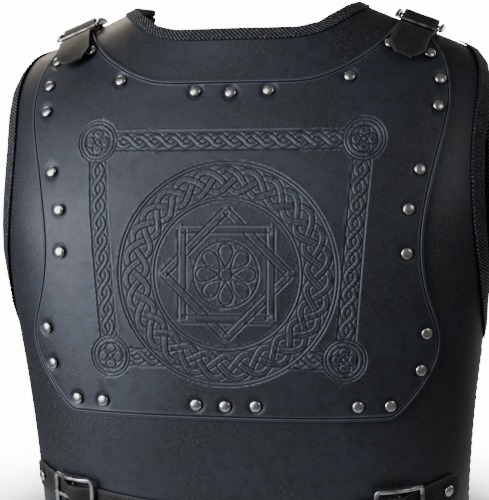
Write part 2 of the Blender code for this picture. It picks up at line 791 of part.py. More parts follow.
# Width of a blunt strap end. Columns: share of the way in from the tip, share of the full width.
STRAP_END = [(0.0, 0.46), (0.12, 0.58), (0.5, 0.82), (1.0, 1.0)]


def tip_widths(path, half_width, length):
    """Half widths along a path whose last stretch narrows to a blunt end."""
    order = path[::-1]
    widths, travelled = [], 0.0
    for k, point in enumerate(order):
        travelled += (point - order[k - 1]).length if k else 0.0
        widths.append(half_width * blend(STRAP_END, 1, min(travelled / length, 1.0)))
    return widths[::-1]


def cleared(path, overs, half_widths, wall):
    """The path of a strap, lifted where the strap would come too near to what it lies on."""
    path = [point.copy() for point in path]
    for _ in range(3):
        profiles = ribbon(path, overs, half_widths, wall)
        for k in range(len(path) - 1):
            normal = surface_normal(path[k])
            low = 0 if profiles[k][0].dot(normal) < profiles[k][2].dot(normal) else 2
            corners = [*profiles[k][low:low + 2], *reversed(profiles[k + 1][low:low + 2])]
            short = shortfall(corners, normal, SEAT_GAP, seat_height)
            if short > 0:
                path[k] += normal * short
                path[k + 1] += normal * short
    return path


def with_tip(points, count, length):
    """Even steps along a path, with closer ones over the tip at its end."""
    total = sum((b - a).length for a, b in zip(points, points[1:]))
    fine = evenly(points, 400)
    keep = max(int(400 * (1 - length / total)), 1)
    body = evenly(fine[:keep + 1], count)
    tip = fine[keep:]
    return body + [tip[int((len(tip) - 1) * share)] for share in (0.5, 0.88, 1.0)]


class Seat:
    """A buckle's place: origin on the shell, and its three directions."""

    def __init__(self, origin, ahead_hint, lift):
        self.origin = origin
        self.up = surface_normal(origin)
        self.ahead = (ahead_hint - self.up * ahead_hint.dot(self.up)).normalized()
        self.across = self.up.cross(self.ahead)
        self.lift = lift

    def at(self, ahead, up, across=0.0):
        """A point, its height counted from the frame's underside."""
        return self.origin + self.ahead * ahead + self.up * (self.lift + up) + self.across * across

    def under(self, ahead, half_width=0.0):
        """The height of the shell's highest place there, counted as at() counts."""
        heights = []
        for share in (-1, -0.5, 0, 0.5, 1):
            surface = landed(self.origin + self.ahead * ahead + self.across * half_width * share, self.up)
            surface += self.up * max(facet_height(surface, self.up), 0)
            heights.append((surface - self.origin).dot(self.up) - self.lift)
        return max(heights)

    def overs(self, path):
        """Across directions along a path: the buckle's own near it, and along the shell farther off."""
        found = []
        for k, point in enumerate(path):
            along = (path[min(k + 1, len(path) - 1)] - path[max(k - 1, 0)]).normalized()
            away = abs((point - self.origin).dot(self.ahead))
            share = min(max((away / BUCKLE_LENGTH - 0.475) / 0.225, 0.0), 1.0)
            local = surface_normal(point).cross(along).normalized()
            if local.dot(self.across) < 0:
                local = -local
            found.append(self.across.lerp(local, share * share * (3 - 2 * share)).normalized())
        return found


def buckle(name, seat, strap_width, side):
    """A frame with arched side bars and a round centre bar."""
    half_length = (BUCKLE_LENGTH - BUCKLE_BAR) / 2
    half_width = strap_width / 2 + BUCKLE_SIDE_ROOM + BUCKLE_BAR / 2
    corner = BUCKLE_BAR * 0.85
    loop = []
    for turn_x, turn_y in ((1, 1), (-1, 1), (-1, -1), (1, -1)):
        start = {(1, 1): 0, (-1, 1): 90, (-1, -1): 180, (1, -1): 270}[(turn_x, turn_y)]
        middle = (turn_x * (half_length - corner), turn_y * (half_width - corner))
        for k in range(3):
            turn = math.radians(start + 45 * k)
            loop.append((middle[0] + corner * math.cos(turn), middle[1] + corner * math.sin(turn), turn))
        if turn_y * turn_x > 0:
            steps = 6
            for k in range(1, steps):
                ahead = middle[0] * (1 - 2 * k / steps)
                loop.append((ahead, turn_y * half_width, math.radians(start + 90)))
        else:
            loop.append((turn_x * half_length, 0.0, math.radians(start + 90)))
    profiles = []
    for ahead, across, turn in loop:
        out_ahead, out_across = math.cos(turn) * BUCKLE_BAR / 2, math.sin(turn) * BUCKLE_BAR / 2
        top = BUCKLE_EDGE + BUCKLE_ARCH * max(1 - (ahead / half_length) ** 2, 0.0)
        ring = []
        low = top - BUCKLE_BEVEL
        for share, up in ((-1, 0), (1, 0), (1, low), (0.5, top), (-0.5, top), (-1, low)):
            ring.append(seat.at(ahead + out_ahead * share, up, across + out_across * share))
        profiles.append(ring)
    frame = solid(name, *swept(profiles, ring=True), AGED_NICKEL, side, sharp=35)
    bar = []
    for across in (-half_width, half_width):
        ring = []
        for k in range(8):
            turn = 2 * math.pi * (k + 0.5) / 8
            ring.append(seat.at(CENTRE_BAR_RADIUS * math.cos(turn),
                                CENTRE_BAR_RADIUS * (1.15 + math.sin(turn)), across))
        bar.append(ring)
    combine(frame, helper(name + "_centre_bar", *swept(bar), side), "UNION")
    return frame


def bar_height():
    """The centre bar's middle above the frame's underside."""
    return CENTRE_BAR_RADIUS * 1.15


def tongue(name, seat, side):
    """A flat prong that hooks round the centre bar and rests on the far end bar."""
    radius = CENTRE_BAR_RADIUS + SEAT_GAP + TONGUE_WALL / 2
    path = []
    for k in range(8):
        turn = math.radians(-170 + 260 * k / 7)
        path.append(seat.at(radius * math.cos(turn), bar_height() + radius * math.sin(turn)))
    rest = BUCKLE_EDGE + SEAT_GAP + TONGUE_WALL / 2
    half_length = BUCKLE_LENGTH / 2
    path.append(seat.at(-half_length * 0.5, (bar_height() + radius + rest) / 2 + BEND_ROOM))
    path.append(seat.at(-half_length + BUCKLE_BAR, rest))
    path.append(seat.at(-half_length, rest))
    half = TONGUE_WIDTH / 2
    widths = [half] * (len(path) - 2) + [half * 0.8, half * 0.55]
    profiles = ribbon(path, [seat.across] * len(path), widths, TONGUE_WALL)
    return solid(name, *swept(profiles), AGED_NICKEL, side, sharp=50)


def block(seat, ahead_from, ahead_to, up_from, up_to, half_width):
    """A box in a buckle's directions, for a cutter."""
    profiles = []
    for across in (-half_width, half_width):
        profiles.append([seat.at(ahead, up, across) for ahead, up in (
            (ahead_from, up_from), (ahead_to, up_from), (ahead_to, up_to), (ahead_from, up_to))])
    return swept(profiles)


def billet_heights(wall, loop_wall):
    """How far a strap's middle lies above the frame's underside, by its place ahead of the centre bar."""
    top = bar_height() + CENTRE_BAR_RADIUS + 3.5 * SEAT_GAP + loop_wall + wall / 2
    low = -SEAT_GAP - BEND_ROOM - wall / 2
    inside = BUCKLE_LENGTH / 2 - BUCKLE_BAR - 4 * BEND_ROOM
    return [(-BUCKLE_LENGTH / 2, low - 3 * BEND_ROOM), (-inside, low), (-0.55 * inside, top / 2),
            (-0.16 * inside, top), (0.16 * inside, top), (0.55 * inside, top / 2), (inside, low),
            (BUCKLE_LENGTH / 2, low - BEND_ROOM / 2)]


def billet_path(seat, wall, loop_wall):
    """Points of a strap from before the far end bar, over the centre bar, to under the near one."""
    return [seat.at(ahead, up) for ahead, up in billet_heights(wall, loop_wall)]


def billet_hole(name, body, seat, side):
    """The punched slot where the tongue comes up through the strap."""
    inside = BUCKLE_LENGTH / 2 - BUCKLE_BAR
    half = TONGUE_WIDTH / 2 + HOLE_ROOM
    slot = block(seat, -0.86 * inside, -0.04 * inside, -TONGUE_WALL, 3 * BUCKLE_BAR, half)
    combine(body, helper(name, *slot, side), "DIFFERENCE")


def loop_path(seat, wall, billet_wall, half_width):
    """Points of a strap end from the shell, round the centre bar and back over itself."""
    radius = CENTRE_BAR_RADIUS + 2 * SEAT_GAP + wall / 2
    reach = BUCKLE_LENGTH / 2 + EAR_GAP * 0.35
    rest = SEAT_GAP + FACET_ROOM + wall / 2
    path = []
    for share in (1.0, 0.75, 0.5, 0.3):
        low = seat.under(reach * share, half_width) + rest
        path.append(seat.at(reach * share, min(low, bar_height() - radius)))
    for turn in range(-90, -271, -30):
        angle = math.radians(turn)
        path.append(seat.at(radius * math.cos(angle), bar_height() + radius * math.sin(angle)))
    heights = billet_heights(billet_wall, wall)
    under_billet = (billet_wall + wall) / 2 * 1.18 + 2 * SEAT_GAP
    for share in (0.17, 0.28, 0.39):
        ahead = BUCKLE_LENGTH / 2 * share
        path.append(seat.at(ahead, blend(heights, 1, ahead) - under_billet))
    return path


def loop_slot(name, body, seat, side):
    """The slot in a folded strap end that leaves room for the tongue's hook."""
    half = TONGUE_WIDTH / 2 + HOLE_ROOM
    hook = CENTRE_BAR_RADIUS + SEAT_GAP + TONGUE_WALL
    slot = block(seat, -2 * hook, 1.6 * hook, -1.6 * hook, 2.8 * hook, half)
    combine(body, helper(name, *slot, side), "DIFFERENCE")


def find_on_top(x, y):
    """The torso's point over a place in plan, near the shoulder."""
    low, high = SHELL_HEIGHT * 0.85, SHELL_HEIGHT * 1.02
    for _ in range(40):
        middle = (low + high) / 2
        if outside(Vector((x, y, middle))) > 0:
            high = middle
        else:
            low = middle
    return Vector((x, y, (low + high) / 2))


def shoulder_seat():
    origin = find_on_top(SHOULDER_STRAP_SHARE * CHEST_HALF_WIDTH, SHOULDER_BUCKLE_PLACE)
    return Seat(origin, Vector((0, -1, 0)), SHOULDER_BUCKLE_LIFT)


def shoulder_pieces(side, word):
    seat = shoulder_seat()
    half = SHOULDER_STRAP_WIDTH / 2
    buckle(f"shoulder_buckle_{word}", seat, SHOULDER_STRAP_WIDTH, side)
    tongue(f"shoulder_tongue_{word}", seat, side)

    rest = SEAT_GAP + FACET_ROOM + STRAP_WALL / 2
    behind = walk(seat.origin, -seat.ahead, seat.across, SHOULDER_TAIL_LENGTH)
    tail_start = BUCKLE_LENGTH * 0.9
    behind = lifted(behind, rest, half, seat.across)
    tail = [point for k, point in enumerate(behind) if WALK_STEP * k >= tail_start]
    before = walk(seat.origin, seat.ahead, seat.across, SHOULDER_TIP_LENGTH)
    tip = []
    for k, point in enumerate(before):
        reach = WALK_STEP * k
        if reach >= BUCKLE_LENGTH * 0.625:
            share = (reach - BUCKLE_LENGTH / 2) / (SHOULDER_TIP_LENGTH - BUCKLE_LENGTH / 2)
            tip.append(point + surface_normal(point) * (TIP_LIFT + TIP_LIFT_RISE * share))
    route = tail[::-4] + billet_path(seat, STRAP_WALL, CHAPE_WALL) + tip[::4] + [tip[-1]]
    path = with_tip(rounded(route), STRAP_STEPS, SHOULDER_TIP_SHAPE)
    overs = seat.overs(path)
    widths = tip_widths(path, half, SHOULDER_TIP_SHAPE)
    path = cleared(path, overs, widths, STRAP_WALL)
    strap = solid(f"shoulder_strap_{word}", *swept(ribbon(path, overs, widths, STRAP_WALL)),
                  STRAP_LEATHER, side, sharp=50)
    billet_hole(f"shoulder_hole_{word}", strap, seat, side)

    folded = loop_path(seat, CHAPE_WALL, STRAP_WALL, half)
    chape = solid(f"shoulder_chape_{word}",
                  *swept(ribbon(folded, [seat.across] * len(folded), [half] * len(folded), CHAPE_WALL)),
                  STRAP_LEATHER, side, sharp=50)
    loop_slot(f"shoulder_slot_{word}", chape, seat, side)

    for number in (1, 2):
        reach = STRAP_RIVET_FROM_END + STRAP_RIVET_SPACING * (number - 1)
        seat_on_strap(f"strap_rivet_{word}_{number}", path, overs, reach, STRAP_WALL, side)


def seat_on_strap(name, path, overs, reach, wall, side):
    """A rivet on a strap, a reach from the start of the strap's path."""
    travelled = 0.0
    k = 0
    while travelled + (path[k + 1] - path[k]).length < reach:
        travelled += (path[k + 1] - path[k]).length
        k += 1
    along = (path[k + 1] - path[k]).normalized()
    up = along.cross(overs[k]).normalized()
    if up.dot(surface_normal(path[k])) < 0:
        up = -up
    foot = path[k] + along * (reach - travelled)
    rivet(name, foot + up * (wall / 2 + SEAT_GAP + 2 * FACET_ROOM), up, side)


# Waist

def waist_height(x):
    return WAIST_HEIGHT + WAIST_SIDE_RISE * (x / WAIST_BUCKLE_PLACE) ** 2


def waist_seat():
    x = WAIST_BUCKLE_PLACE
    origin = torso(angle_at_x(x, waist_height(x)), waist_height(x))
    inner = torso(angle_at_x(x * 0.85, waist_height(x * 0.85)), waist_height(x * 0.85))
    return Seat(origin, inner - origin, WAIST_BUCKLE_LIFT)


def waist_tab(side, word, seat):
    rest = SEAT_GAP + FACET_ROOM + WAIST_STRAP_WALL / 2
    outward = walk(seat.origin, -seat.ahead, seat.across, WAIST_TAB_LENGTH)
    start = BUCKLE_LENGTH * 0.72
    outward = lifted(outward, rest, WAIST_STRAP_WIDTH / 2, seat.across)
    tail = [point for k, point in enumerate(outward) if WALK_STEP * k >= start]
    route = billet_path(seat, WAIST_STRAP_WALL, WAIST_STRAP_WALL)[::-1] + tail[::4] + [tail[-1]]
    path = with_tip(rounded(route), TAB_STEPS, WAIST_TAB_SHAPE)
    overs = seat.overs(path)
    widths = tip_widths(path, WAIST_STRAP_WIDTH / 2, WAIST_TAB_SHAPE)
    path = cleared(path, overs, widths, WAIST_STRAP_WALL)
    tab = solid(f"waist_tab_{word}", *swept(ribbon(path, overs, widths, WAIST_STRAP_WALL)),
                STRAP_LEATHER, side, sharp=50)
    billet_hole(f"waist_hole_{word}", tab, seat, side)
    seat_on_strap(f"waist_rivet_{word}", path[::-1], overs[::-1], WAIST_RIVET_FROM_END, WAIST_STRAP_WALL, side)


def on_column(grid, column, height):
    """The place at a height on one of the front shell's columns of corners."""
    corners = [torso(*row[column]) for row in grid]
    k = max(i for i in range(len(corners) - 1) if corners[i].z <= height)
    share = (height - corners[k].z) / (corners[k + 1].z - corners[k].z)
    return corners[k].lerp(corners[k + 1], share)


def waist_strap(seat):
    """The strap across the belly, folded round the centre bar of each waist buckle."""
    half, wall = WAIST_STRAP_WIDTH / 2, WAIST_STRAP_WALL
    folded = loop_path(seat, wall, wall, half)[::-1]
    fold = ribbon(folded, [seat.across] * len(folded), [half] * len(folded), wall)
    # The fold's corners are put in the order of the rest, from the lower inner one up and round.
    half_profiles = [[second, first, fourth, third] for first, second, third, fourth in fold]
    # Between the buckles it bends where the shell under it bends.
    grid = panel_grid("front")
    low = SEAT_GAP + FACET_ROOM
    middle = FRONT_COLUMNS // 2
    for column in range(FRONT_COLUMNS, middle - 1, -1):
        foot = on_column(grid, column, WAIST_HEIGHT)
        if foot.x > WAIST_BUCKLE_PLACE - BUCKLE_LENGTH * 0.7:
            continue
        lower = on_column(grid, column, waist_height(foot.x) - half)
        upper = on_column(grid, column, waist_height(foot.x) + half)
        lean = 2 * WAIST_SIDE_RISE * foot.x / WAIST_BUCKLE_PLACE ** 2
        normal = surface_normal(foot)
        aside = Vector((-normal.y, normal.x, 0)).normalized() * half * lean
        lower += aside
        upper -= aside
        lower, upper = lifted([lower, upper], low)
        half_profiles.append([lower, upper, upper + normal * wall, lower + normal * wall])
    other = [mirrored(profile) for profile in half_profiles[:-1]]
    strap = solid("waist_strap", *swept(half_profiles + other[::-1]), STRAP_LEATHER, sharp=50)
    loop_slot("waist_slot_left", strap, seat, 1)
    loop_slot("waist_slot_right", strap, seat, -1)


def stand_on_origin():
    """Moves all pieces so that the middle of their footprint is the origin."""
    pieces = [made for made in bpy.context.scene.objects if made.type == "MESH"]
    depths = [vertex.co.y for made in pieces if not made.hide_render for vertex in made.data.vertices]
    middle = (min(depths) + max(depths)) / 2
    for made in pieces:
        for vertex in made.data.vertices:
            vertex.co.y -= middle


def main():
    for made in list(bpy.data.objects):
        bpy.data.objects.remove(made, do_unlink=True)
    panel("breast_panel", "front")
    panel("back_panel", "back")
    neck_binding("neck_binding_front", "front")
    neck_binding("neck_binding_back", "back")
    ear = shoulder_seat()
    ear_reach = BUCKLE_LENGTH / 2 + EAR_GAP
    corners = []
    for across in (-1, 1):
        place = ear.origin + ear.ahead * ear_reach + ear.across * across * SHOULDER_STRAP_WIDTH / 2
        corners.append(landed(place, ear.up))
    corners.sort(key=lambda corner: corner.x)
    chest_overlay(corners[1], corners[0])
    chest_rivets(ear)
    waist = waist_seat()
    waist_strap(waist)
    for side, word in ((1, "left"), (-1, "right")):
        armhole_binding(f"armhole_binding_{word}", side)
        shoulder_pieces(side, word)
        waist_tab(side, word, waist)
        buckle(f"waist_buckle_{word}", waist, WAIST_STRAP_WIDTH, side)
        tongue(f"waist_tongue_{word}", waist, side)
    stand_on_origin()


main()
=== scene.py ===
import math

import bmesh
import bpy
import numpy as np
from mathutils import Matrix, Vector
from mathutils.bvhtree import BVHTree
from mathutils.kdtree import KDTree


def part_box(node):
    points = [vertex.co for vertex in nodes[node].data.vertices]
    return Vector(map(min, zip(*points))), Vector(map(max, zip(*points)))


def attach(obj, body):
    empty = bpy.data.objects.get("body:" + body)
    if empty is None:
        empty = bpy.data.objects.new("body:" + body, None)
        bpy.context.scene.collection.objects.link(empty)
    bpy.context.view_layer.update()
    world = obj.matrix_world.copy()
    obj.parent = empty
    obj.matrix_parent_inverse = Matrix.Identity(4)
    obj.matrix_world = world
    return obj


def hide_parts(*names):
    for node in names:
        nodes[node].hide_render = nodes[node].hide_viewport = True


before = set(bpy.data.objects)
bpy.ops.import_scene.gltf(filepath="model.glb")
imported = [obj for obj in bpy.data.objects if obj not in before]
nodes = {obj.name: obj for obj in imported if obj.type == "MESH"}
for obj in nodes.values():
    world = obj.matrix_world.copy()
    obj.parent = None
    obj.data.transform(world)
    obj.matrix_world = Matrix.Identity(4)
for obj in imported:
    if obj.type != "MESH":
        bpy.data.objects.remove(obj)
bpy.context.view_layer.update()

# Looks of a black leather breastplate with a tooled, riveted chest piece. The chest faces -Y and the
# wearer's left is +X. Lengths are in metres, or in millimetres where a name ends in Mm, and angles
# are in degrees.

sides = ("left", "right")
print("frame loaded:", len(nodes), "nodes")


# Small helpers

def mm(value):
    return value / 1000


meshLook = {
    "weld": mm(0.01), "threadWeld": mm(0.001),
    "pairBend": 35, "pairSkew": 80,     # how far two triangles may bend or lean and still be one quad
    "edgeSegments": 4, "crestFrom": 30,
}


def hexColour(code):
    # An sRGB hex code as the linear colour that the shader's sockets take.
    parts = [int(code[k:k + 2], 16) / 255 for k in (1, 3, 5)]
    return (*[p / 12.92 if p <= 0.04045 else ((p + 0.055) / 1.055) ** 2.4 for p in parts], 1.0)


def setInputs(tree, node, inputs):
    # Inputs go by socket, or in the sockets' order where they are a list. Each is a value, or a pair:
    # the node that it comes from and that node's output.
    for socket, value in inputs.items() if isinstance(inputs, dict) else enumerate(inputs):
        if isinstance(value, tuple) and len(value) == 2:
            tree.links.new(value[0].outputs[value[1]], node.inputs[socket])
        else:
            node.inputs[socket].default_value = value


def addNode(tree, kind, settings=None, inputs=None):
    node = tree.nodes.new("ShaderNode" + kind)
    for name, value in (settings or {}).items():
        setattr(node, name, value)
    setInputs(tree, node, inputs or {})
    return node


def newMaterial(name):
    material = bpy.data.materials.new(name)
    material.use_nodes = True
    return material, material.node_tree, material.node_tree.nodes["Principled BSDF"]


def newObject(name, data):
    made = bpy.data.objects.new(name, data)
    bpy.context.scene.collection.objects.link(made)
    return made


def smoothen(piece, levels):
    smooth = piece.modifiers.new("smooth", "SUBSURF")
    smooth.levels = smooth.render_levels = levels


def shownForm(pieces):
    # The meshes of pieces as their modifiers leave them, in one bmesh.
    graph = bpy.context.evaluated_depsgraph_get()
    form = bmesh.new()
    for piece in pieces:
        shown = piece.evaluated_get(graph)
        form.from_mesh(shown.to_mesh())
        shown.to_mesh_clear()
    return form


def pointTree(points):
    tree = KDTree(len(points))
    for k, point in enumerate(points):
        tree.insert(point, k)
    tree.balance()
    return tree


def flatTree(points):
    # The same for points on the plane of x and height.
    return pointTree([(x, 0.0, z) for x, z in points])


def placedAxes(axes, place):
    matrix = Matrix(axes).transposed().to_4x4()
    matrix.translation = place
    return matrix


def lengthsAlong(points):
    return np.concatenate([[0], np.cumsum(np.linalg.norm(np.diff(points, axis=0), axis=1))])


def headings(path):
    ahead = np.gradient(path, axis=0)
    return ahead / np.linalg.norm(ahead, axis=1)[:, None]


def quadCopy(nodeName):
    # A copy of a node's mesh, its corners merged and its triangles paired up into the grid they came from.
    form = bmesh.new()
    form.from_mesh(nodes[nodeName].data)
    bmesh.ops.remove_doubles(form, verts=form.verts, dist=meshLook["weld"])
    bmesh.ops.join_triangles(form, faces=form.faces, topology_influence=2.0,
                             angle_face_threshold=math.radians(meshLook["pairBend"]),
                             angle_shape_threshold=math.radians(meshLook["pairSkew"]))
    return form


def crispEdges(form, reach, sharpFrom=50, wearAndHighlight=0.0, wearAndHighlightBeside=0.0):
    # Loops beside the sharp edges, so that subdivision rounds only their crests, which are marked for rubbed
    # wear and a painted highlight.
    edges = [edge for edge in form.edges if edge.calc_face_angle(0) > math.radians(sharpFrom)]
    bmesh.ops.bevel(form, geom=edges, offset=reach, affect="EDGES", segments=meshLook["edgeSegments"],
                    profile=1.0, material=-1, clamp_overlap=True)
    layer = form.verts.layers.float.new("wearAndHighlight")
    crestFrom = math.radians(meshLook["crestFrom"])
    crests = {vertex for vertex in form.verts
              if any(edge.calc_face_angle(0) > crestFrom for edge in vertex.link_edges)}
    for vertex in form.verts:
        beside = any(edge.other_vert(vertex) in crests for edge in vertex.link_edges)
        vertex[layer] = wearAndHighlight if vertex in crests else wearAndHighlightBeside if beside else 0.0


def markLowShade(form, height, over, most):
    # Marks painted shade on what lies low, the more the further it is under a height.
    layer = form.verts.layers.float.new("lowShade")
    for vertex in form.verts:
        vertex[layer] = min(max((height - vertex.co.z) / over, 0.0), 1.0) * most


def finishPiece(name, form, material, replaced, levels=0, sharpFrom=None):
    mesh = bpy.data.meshes.new(name)
    form.to_mesh(mesh)
    form.free()
    mesh.shade_smooth()
    if sharpFrom:
        mesh.set_sharp_from_angle(angle=math.radians(sharpFrom))
    mesh.materials.clear()
    mesh.materials.append(material)
    piece = newObject(name, mesh)
    if levels:
        smoothen(piece, levels)
    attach(piece, "root")
    if replaced:
        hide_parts(*replaced)
    return piece


def seatOf(nodeName, ahead=Vector((0, -1, 0))):
    # A flat piece's foot as a matrix whose axes point ahead, across and up, off the leather, and its
    # sizes along them.
    form = quadCopy(nodeName)
    points = np.array([vertex.co for vertex in form.verts])
    form.free()
    middle = points.mean(0)
    up = Vector(np.linalg.svd(points - middle)[2][2])
    middle = Vector(middle)
    inside = Vector((0, 0, middle.z * 0.8))     # within the shells, a little lower than the piece
    if up.dot(middle - inside) < 0:
        up = -up
    ahead = (ahead - up * ahead.dot(up)).normalized()
    axes = (ahead, up.cross(ahead), up)
    spans = [[(Vector(point) - middle).dot(axis) for point in points] for axis in axes]
    middle = middle + sum(((min(span) + max(span)) / 2 * axis
                           for span, axis in zip(spans[:2], axes)), Vector())
    middle = middle + up * min(spans[2])
    return placedAxes(axes, middle), [max(span) - min(span) for span in spans]


# Materials

# Noises are given as their size in mm, detail and roughness.
leatherLook = {
    "deep": "#0b0b0c",        # the dye where it lies thickest
    "body": "#1b1c1e",        # dyed grain side under wax
    "cloud": "#2a2d32",       # blue-grey bloom of the wax
    "scuff": "#464844",       # grain rubbed through at the highest pores
    "wornAndHighlight": "#70747b",        # edges and raised lines, rubbed grey and painted lighter as a highlight
    "pressedAndShade": "#070708",        # pressed lines and stippled ground, and painted shade in corners and under other pieces
    "clouds": (55.0, 6.0, 0.66), "cloudSpan": (0.42, 0.62),
    "mottle": (9.0, 5.0, 0.62), "mottleSpan": (0.48, 0.66), "mottleShare": 0.55,
    "specks": (1.6, 4.0, 0.7), "speckSpan": (0.46, 0.72), "scuffShare": 0.85,
    "grainMm": 1.1, "grainShare": 0.55, "grainDepthMm": 0.13, "bumpStrength": 0.8,
    "stippleMm": 1.3, "stippleSpan": (0.15, 0.55), "stippleShares": (1.0, 0.35), "stippleDeep": 1.6,
    "cornerMm": 3.0,          # how far the painted shade spreads out of a corner
    "cornerSpan": (0.25, 0.72), "cornerShares": (0.95, 0.0),
    "ior": 1.48, "sheen": 0.5, "roughness": 0.43, "roughSpan": (-0.05, 0.09),
}


def leatherMaterial(name, look):
    # Vegetable-tanned cowhide, drum-dyed black and hot-waxed: a satin sheet with a cloudy bloom, dry
    # grey specks where the wax is thin, black pressed lines, painted shade in every corner and rubbed
    # edges with a painted highlight.
    material, tree, shader = newMaterial(name)
    place = addNode(tree, "TexCoord")
    clouds, mottle, specks = (
        addNode(tree, "TexNoise", None, {"Vector": (place, "Object"), "Scale": 1 / mm(size),
                                         "Detail": detail, "Roughness": roughness})
        for size, detail, roughness in (look["clouds"], look["mottle"], look["specks"]))
    grain, stipple = (
        addNode(tree, "TexVoronoi", {"feature": "F1"}, {"Vector": (place, "Object"), "Scale": 1 / mm(size)})
        for size in (look["grainMm"], look["stippleMm"]))
    cut, wearAndHighlight, ground = (addNode(tree, "Attribute", {"attribute_name": kind})
                         for kind in ("cut", "wearAndHighlight", "ground"))
    # Painted shade: ambient occlusion darkens the leather in corners and beside and under other pieces.
    corners = addNode(tree, "AmbientOcclusion", {"samples": 8}, {"Distance": mm(look["cornerMm"])})
    bloom = addNode(tree, "MapRange", None, [(clouds, "Fac"), *look["cloudSpan"]])
    base = addNode(tree, "Mix", {"data_type": "RGBA"}, {
        0: (bloom, 0), 6: hexColour(look["body"]), 7: hexColour(look["cloud"])})
    spots = addNode(tree, "MapRange", None, [(mottle, "Fac"), *look["mottleSpan"]])
    spotShare = addNode(tree, "Math", {"operation": "MULTIPLY"}, [(spots, 0), look["mottleShare"]])
    spotted = addNode(tree, "Mix", {"data_type": "RGBA"}, {
        0: (spotShare, 0), 6: (base, 2), 7: hexColour(look["deep"])})
    rubs = addNode(tree, "MapRange", None, [(specks, "Fac"), *look["speckSpan"]])
    dry = addNode(tree, "Math", {"operation": "SUBTRACT"}, [1.0, (bloom, 0)])
    dryRubs = addNode(tree, "Math", {"operation": "MULTIPLY"}, [(rubs, 0), (dry, 0)])
    rubShare = addNode(tree, "Math", {"operation": "MULTIPLY"}, [(dryRubs, 0), look["scuffShare"]])
    rubbed = addNode(tree, "Mix", {"data_type": "RGBA"}, {
        0: (rubShare, 0), 6: (spotted, 2), 7: hexColour(look["scuff"])})
    dots = addNode(tree, "MapRange", None, [
        (stipple, "Distance"), *look["stippleSpan"], *look["stippleShares"]])
    sunk = addNode(tree, "Math", {"operation": "MULTIPLY"}, [(ground, "Fac"), (dots, 0)])
    pressed = addNode(tree, "Math", {"operation": "MAXIMUM"}, [(sunk, 0), (cut, "Fac")])
    # The painted shade, and the darker pressed lines and ground, mixed towards the darkest colour.
    cornerShade = addNode(tree, "MapRange", None, [(corners, "AO"), *look["cornerSpan"], *look["cornerShares"]])
    pressedAndShaded = addNode(tree, "Math", {"operation": "MAXIMUM"}, [(pressed, 0), (cornerShade, 0)])
    dark = addNode(tree, "Mix", {"data_type": "RGBA"}, {
        0: (pressedAndShaded, 0), 6: (rubbed, 2), 7: hexColour(look["pressedAndShade"])})
    # Rubbed wear and a painted highlight on edges and groove lips.
    wornAndHighlight = addNode(tree, "Mix", {"data_type": "RGBA"}, {
        0: (wearAndHighlight, "Fac"), 6: (dark, 2), 7: hexColour(look["wornAndHighlight"])})
    gloss = addNode(tree, "MapRange", None, [
        (mottle, "Fac"), 0.0, 1.0, *[look["roughness"] + change for change in look["roughSpan"]]])
    pores = addNode(tree, "Math", {"operation": "MULTIPLY_ADD"}, [
        (grain, "Distance"), look["grainShare"], (specks, "Fac")])
    pits = addNode(tree, "Math", {"operation": "MULTIPLY_ADD"}, [
        (sunk, 0), -look["stippleDeep"], (pores, 0)])
    bump = addNode(tree, "Bump", None, {
        "Strength": look["bumpStrength"], "Distance": mm(look["grainDepthMm"]), "Height": (pits, 0)})
    setInputs(tree, shader, {"Base Color": (wornAndHighlight, 2), "Roughness": (gloss, 0), "Normal": (bump, 0),
                             "IOR": look["ior"], "Specular IOR Level": look["sheen"]})
    return material


chestLook = {**leatherLook, "body": "#1d1e21", "clouds": (60.0, 6.0, 0.66), "scuffShare": 0.6}

strapLook = {
    **leatherLook, "body": "#1a1a19", "cloud": "#262622", "deep": "#111110", "scuff": "#5a574e",
    "wornAndHighlight": "#7b786f", "clouds": (40.0, 6.0, 0.66), "roughness": 0.58, "sheen": 0.26,
    "grainDepthMm": 0.16,
}

tapeLook = {
    "warp": "#0e0e0f",
    "weft": "#6e6e6c",
    "twillMm": 2.4,           # real ribs are about 0.8 mm, drawn wider so that they show
    "yarnMm": 1.1, "yarnShare": 0.35,
    "fluffMm": 1.3, "glintSpan": (0.27, 0.52),
    "ribDepthMm": 0.3, "bumpStrength": 0.8, "roughness": 0.86, "sheen": 0.35,
}


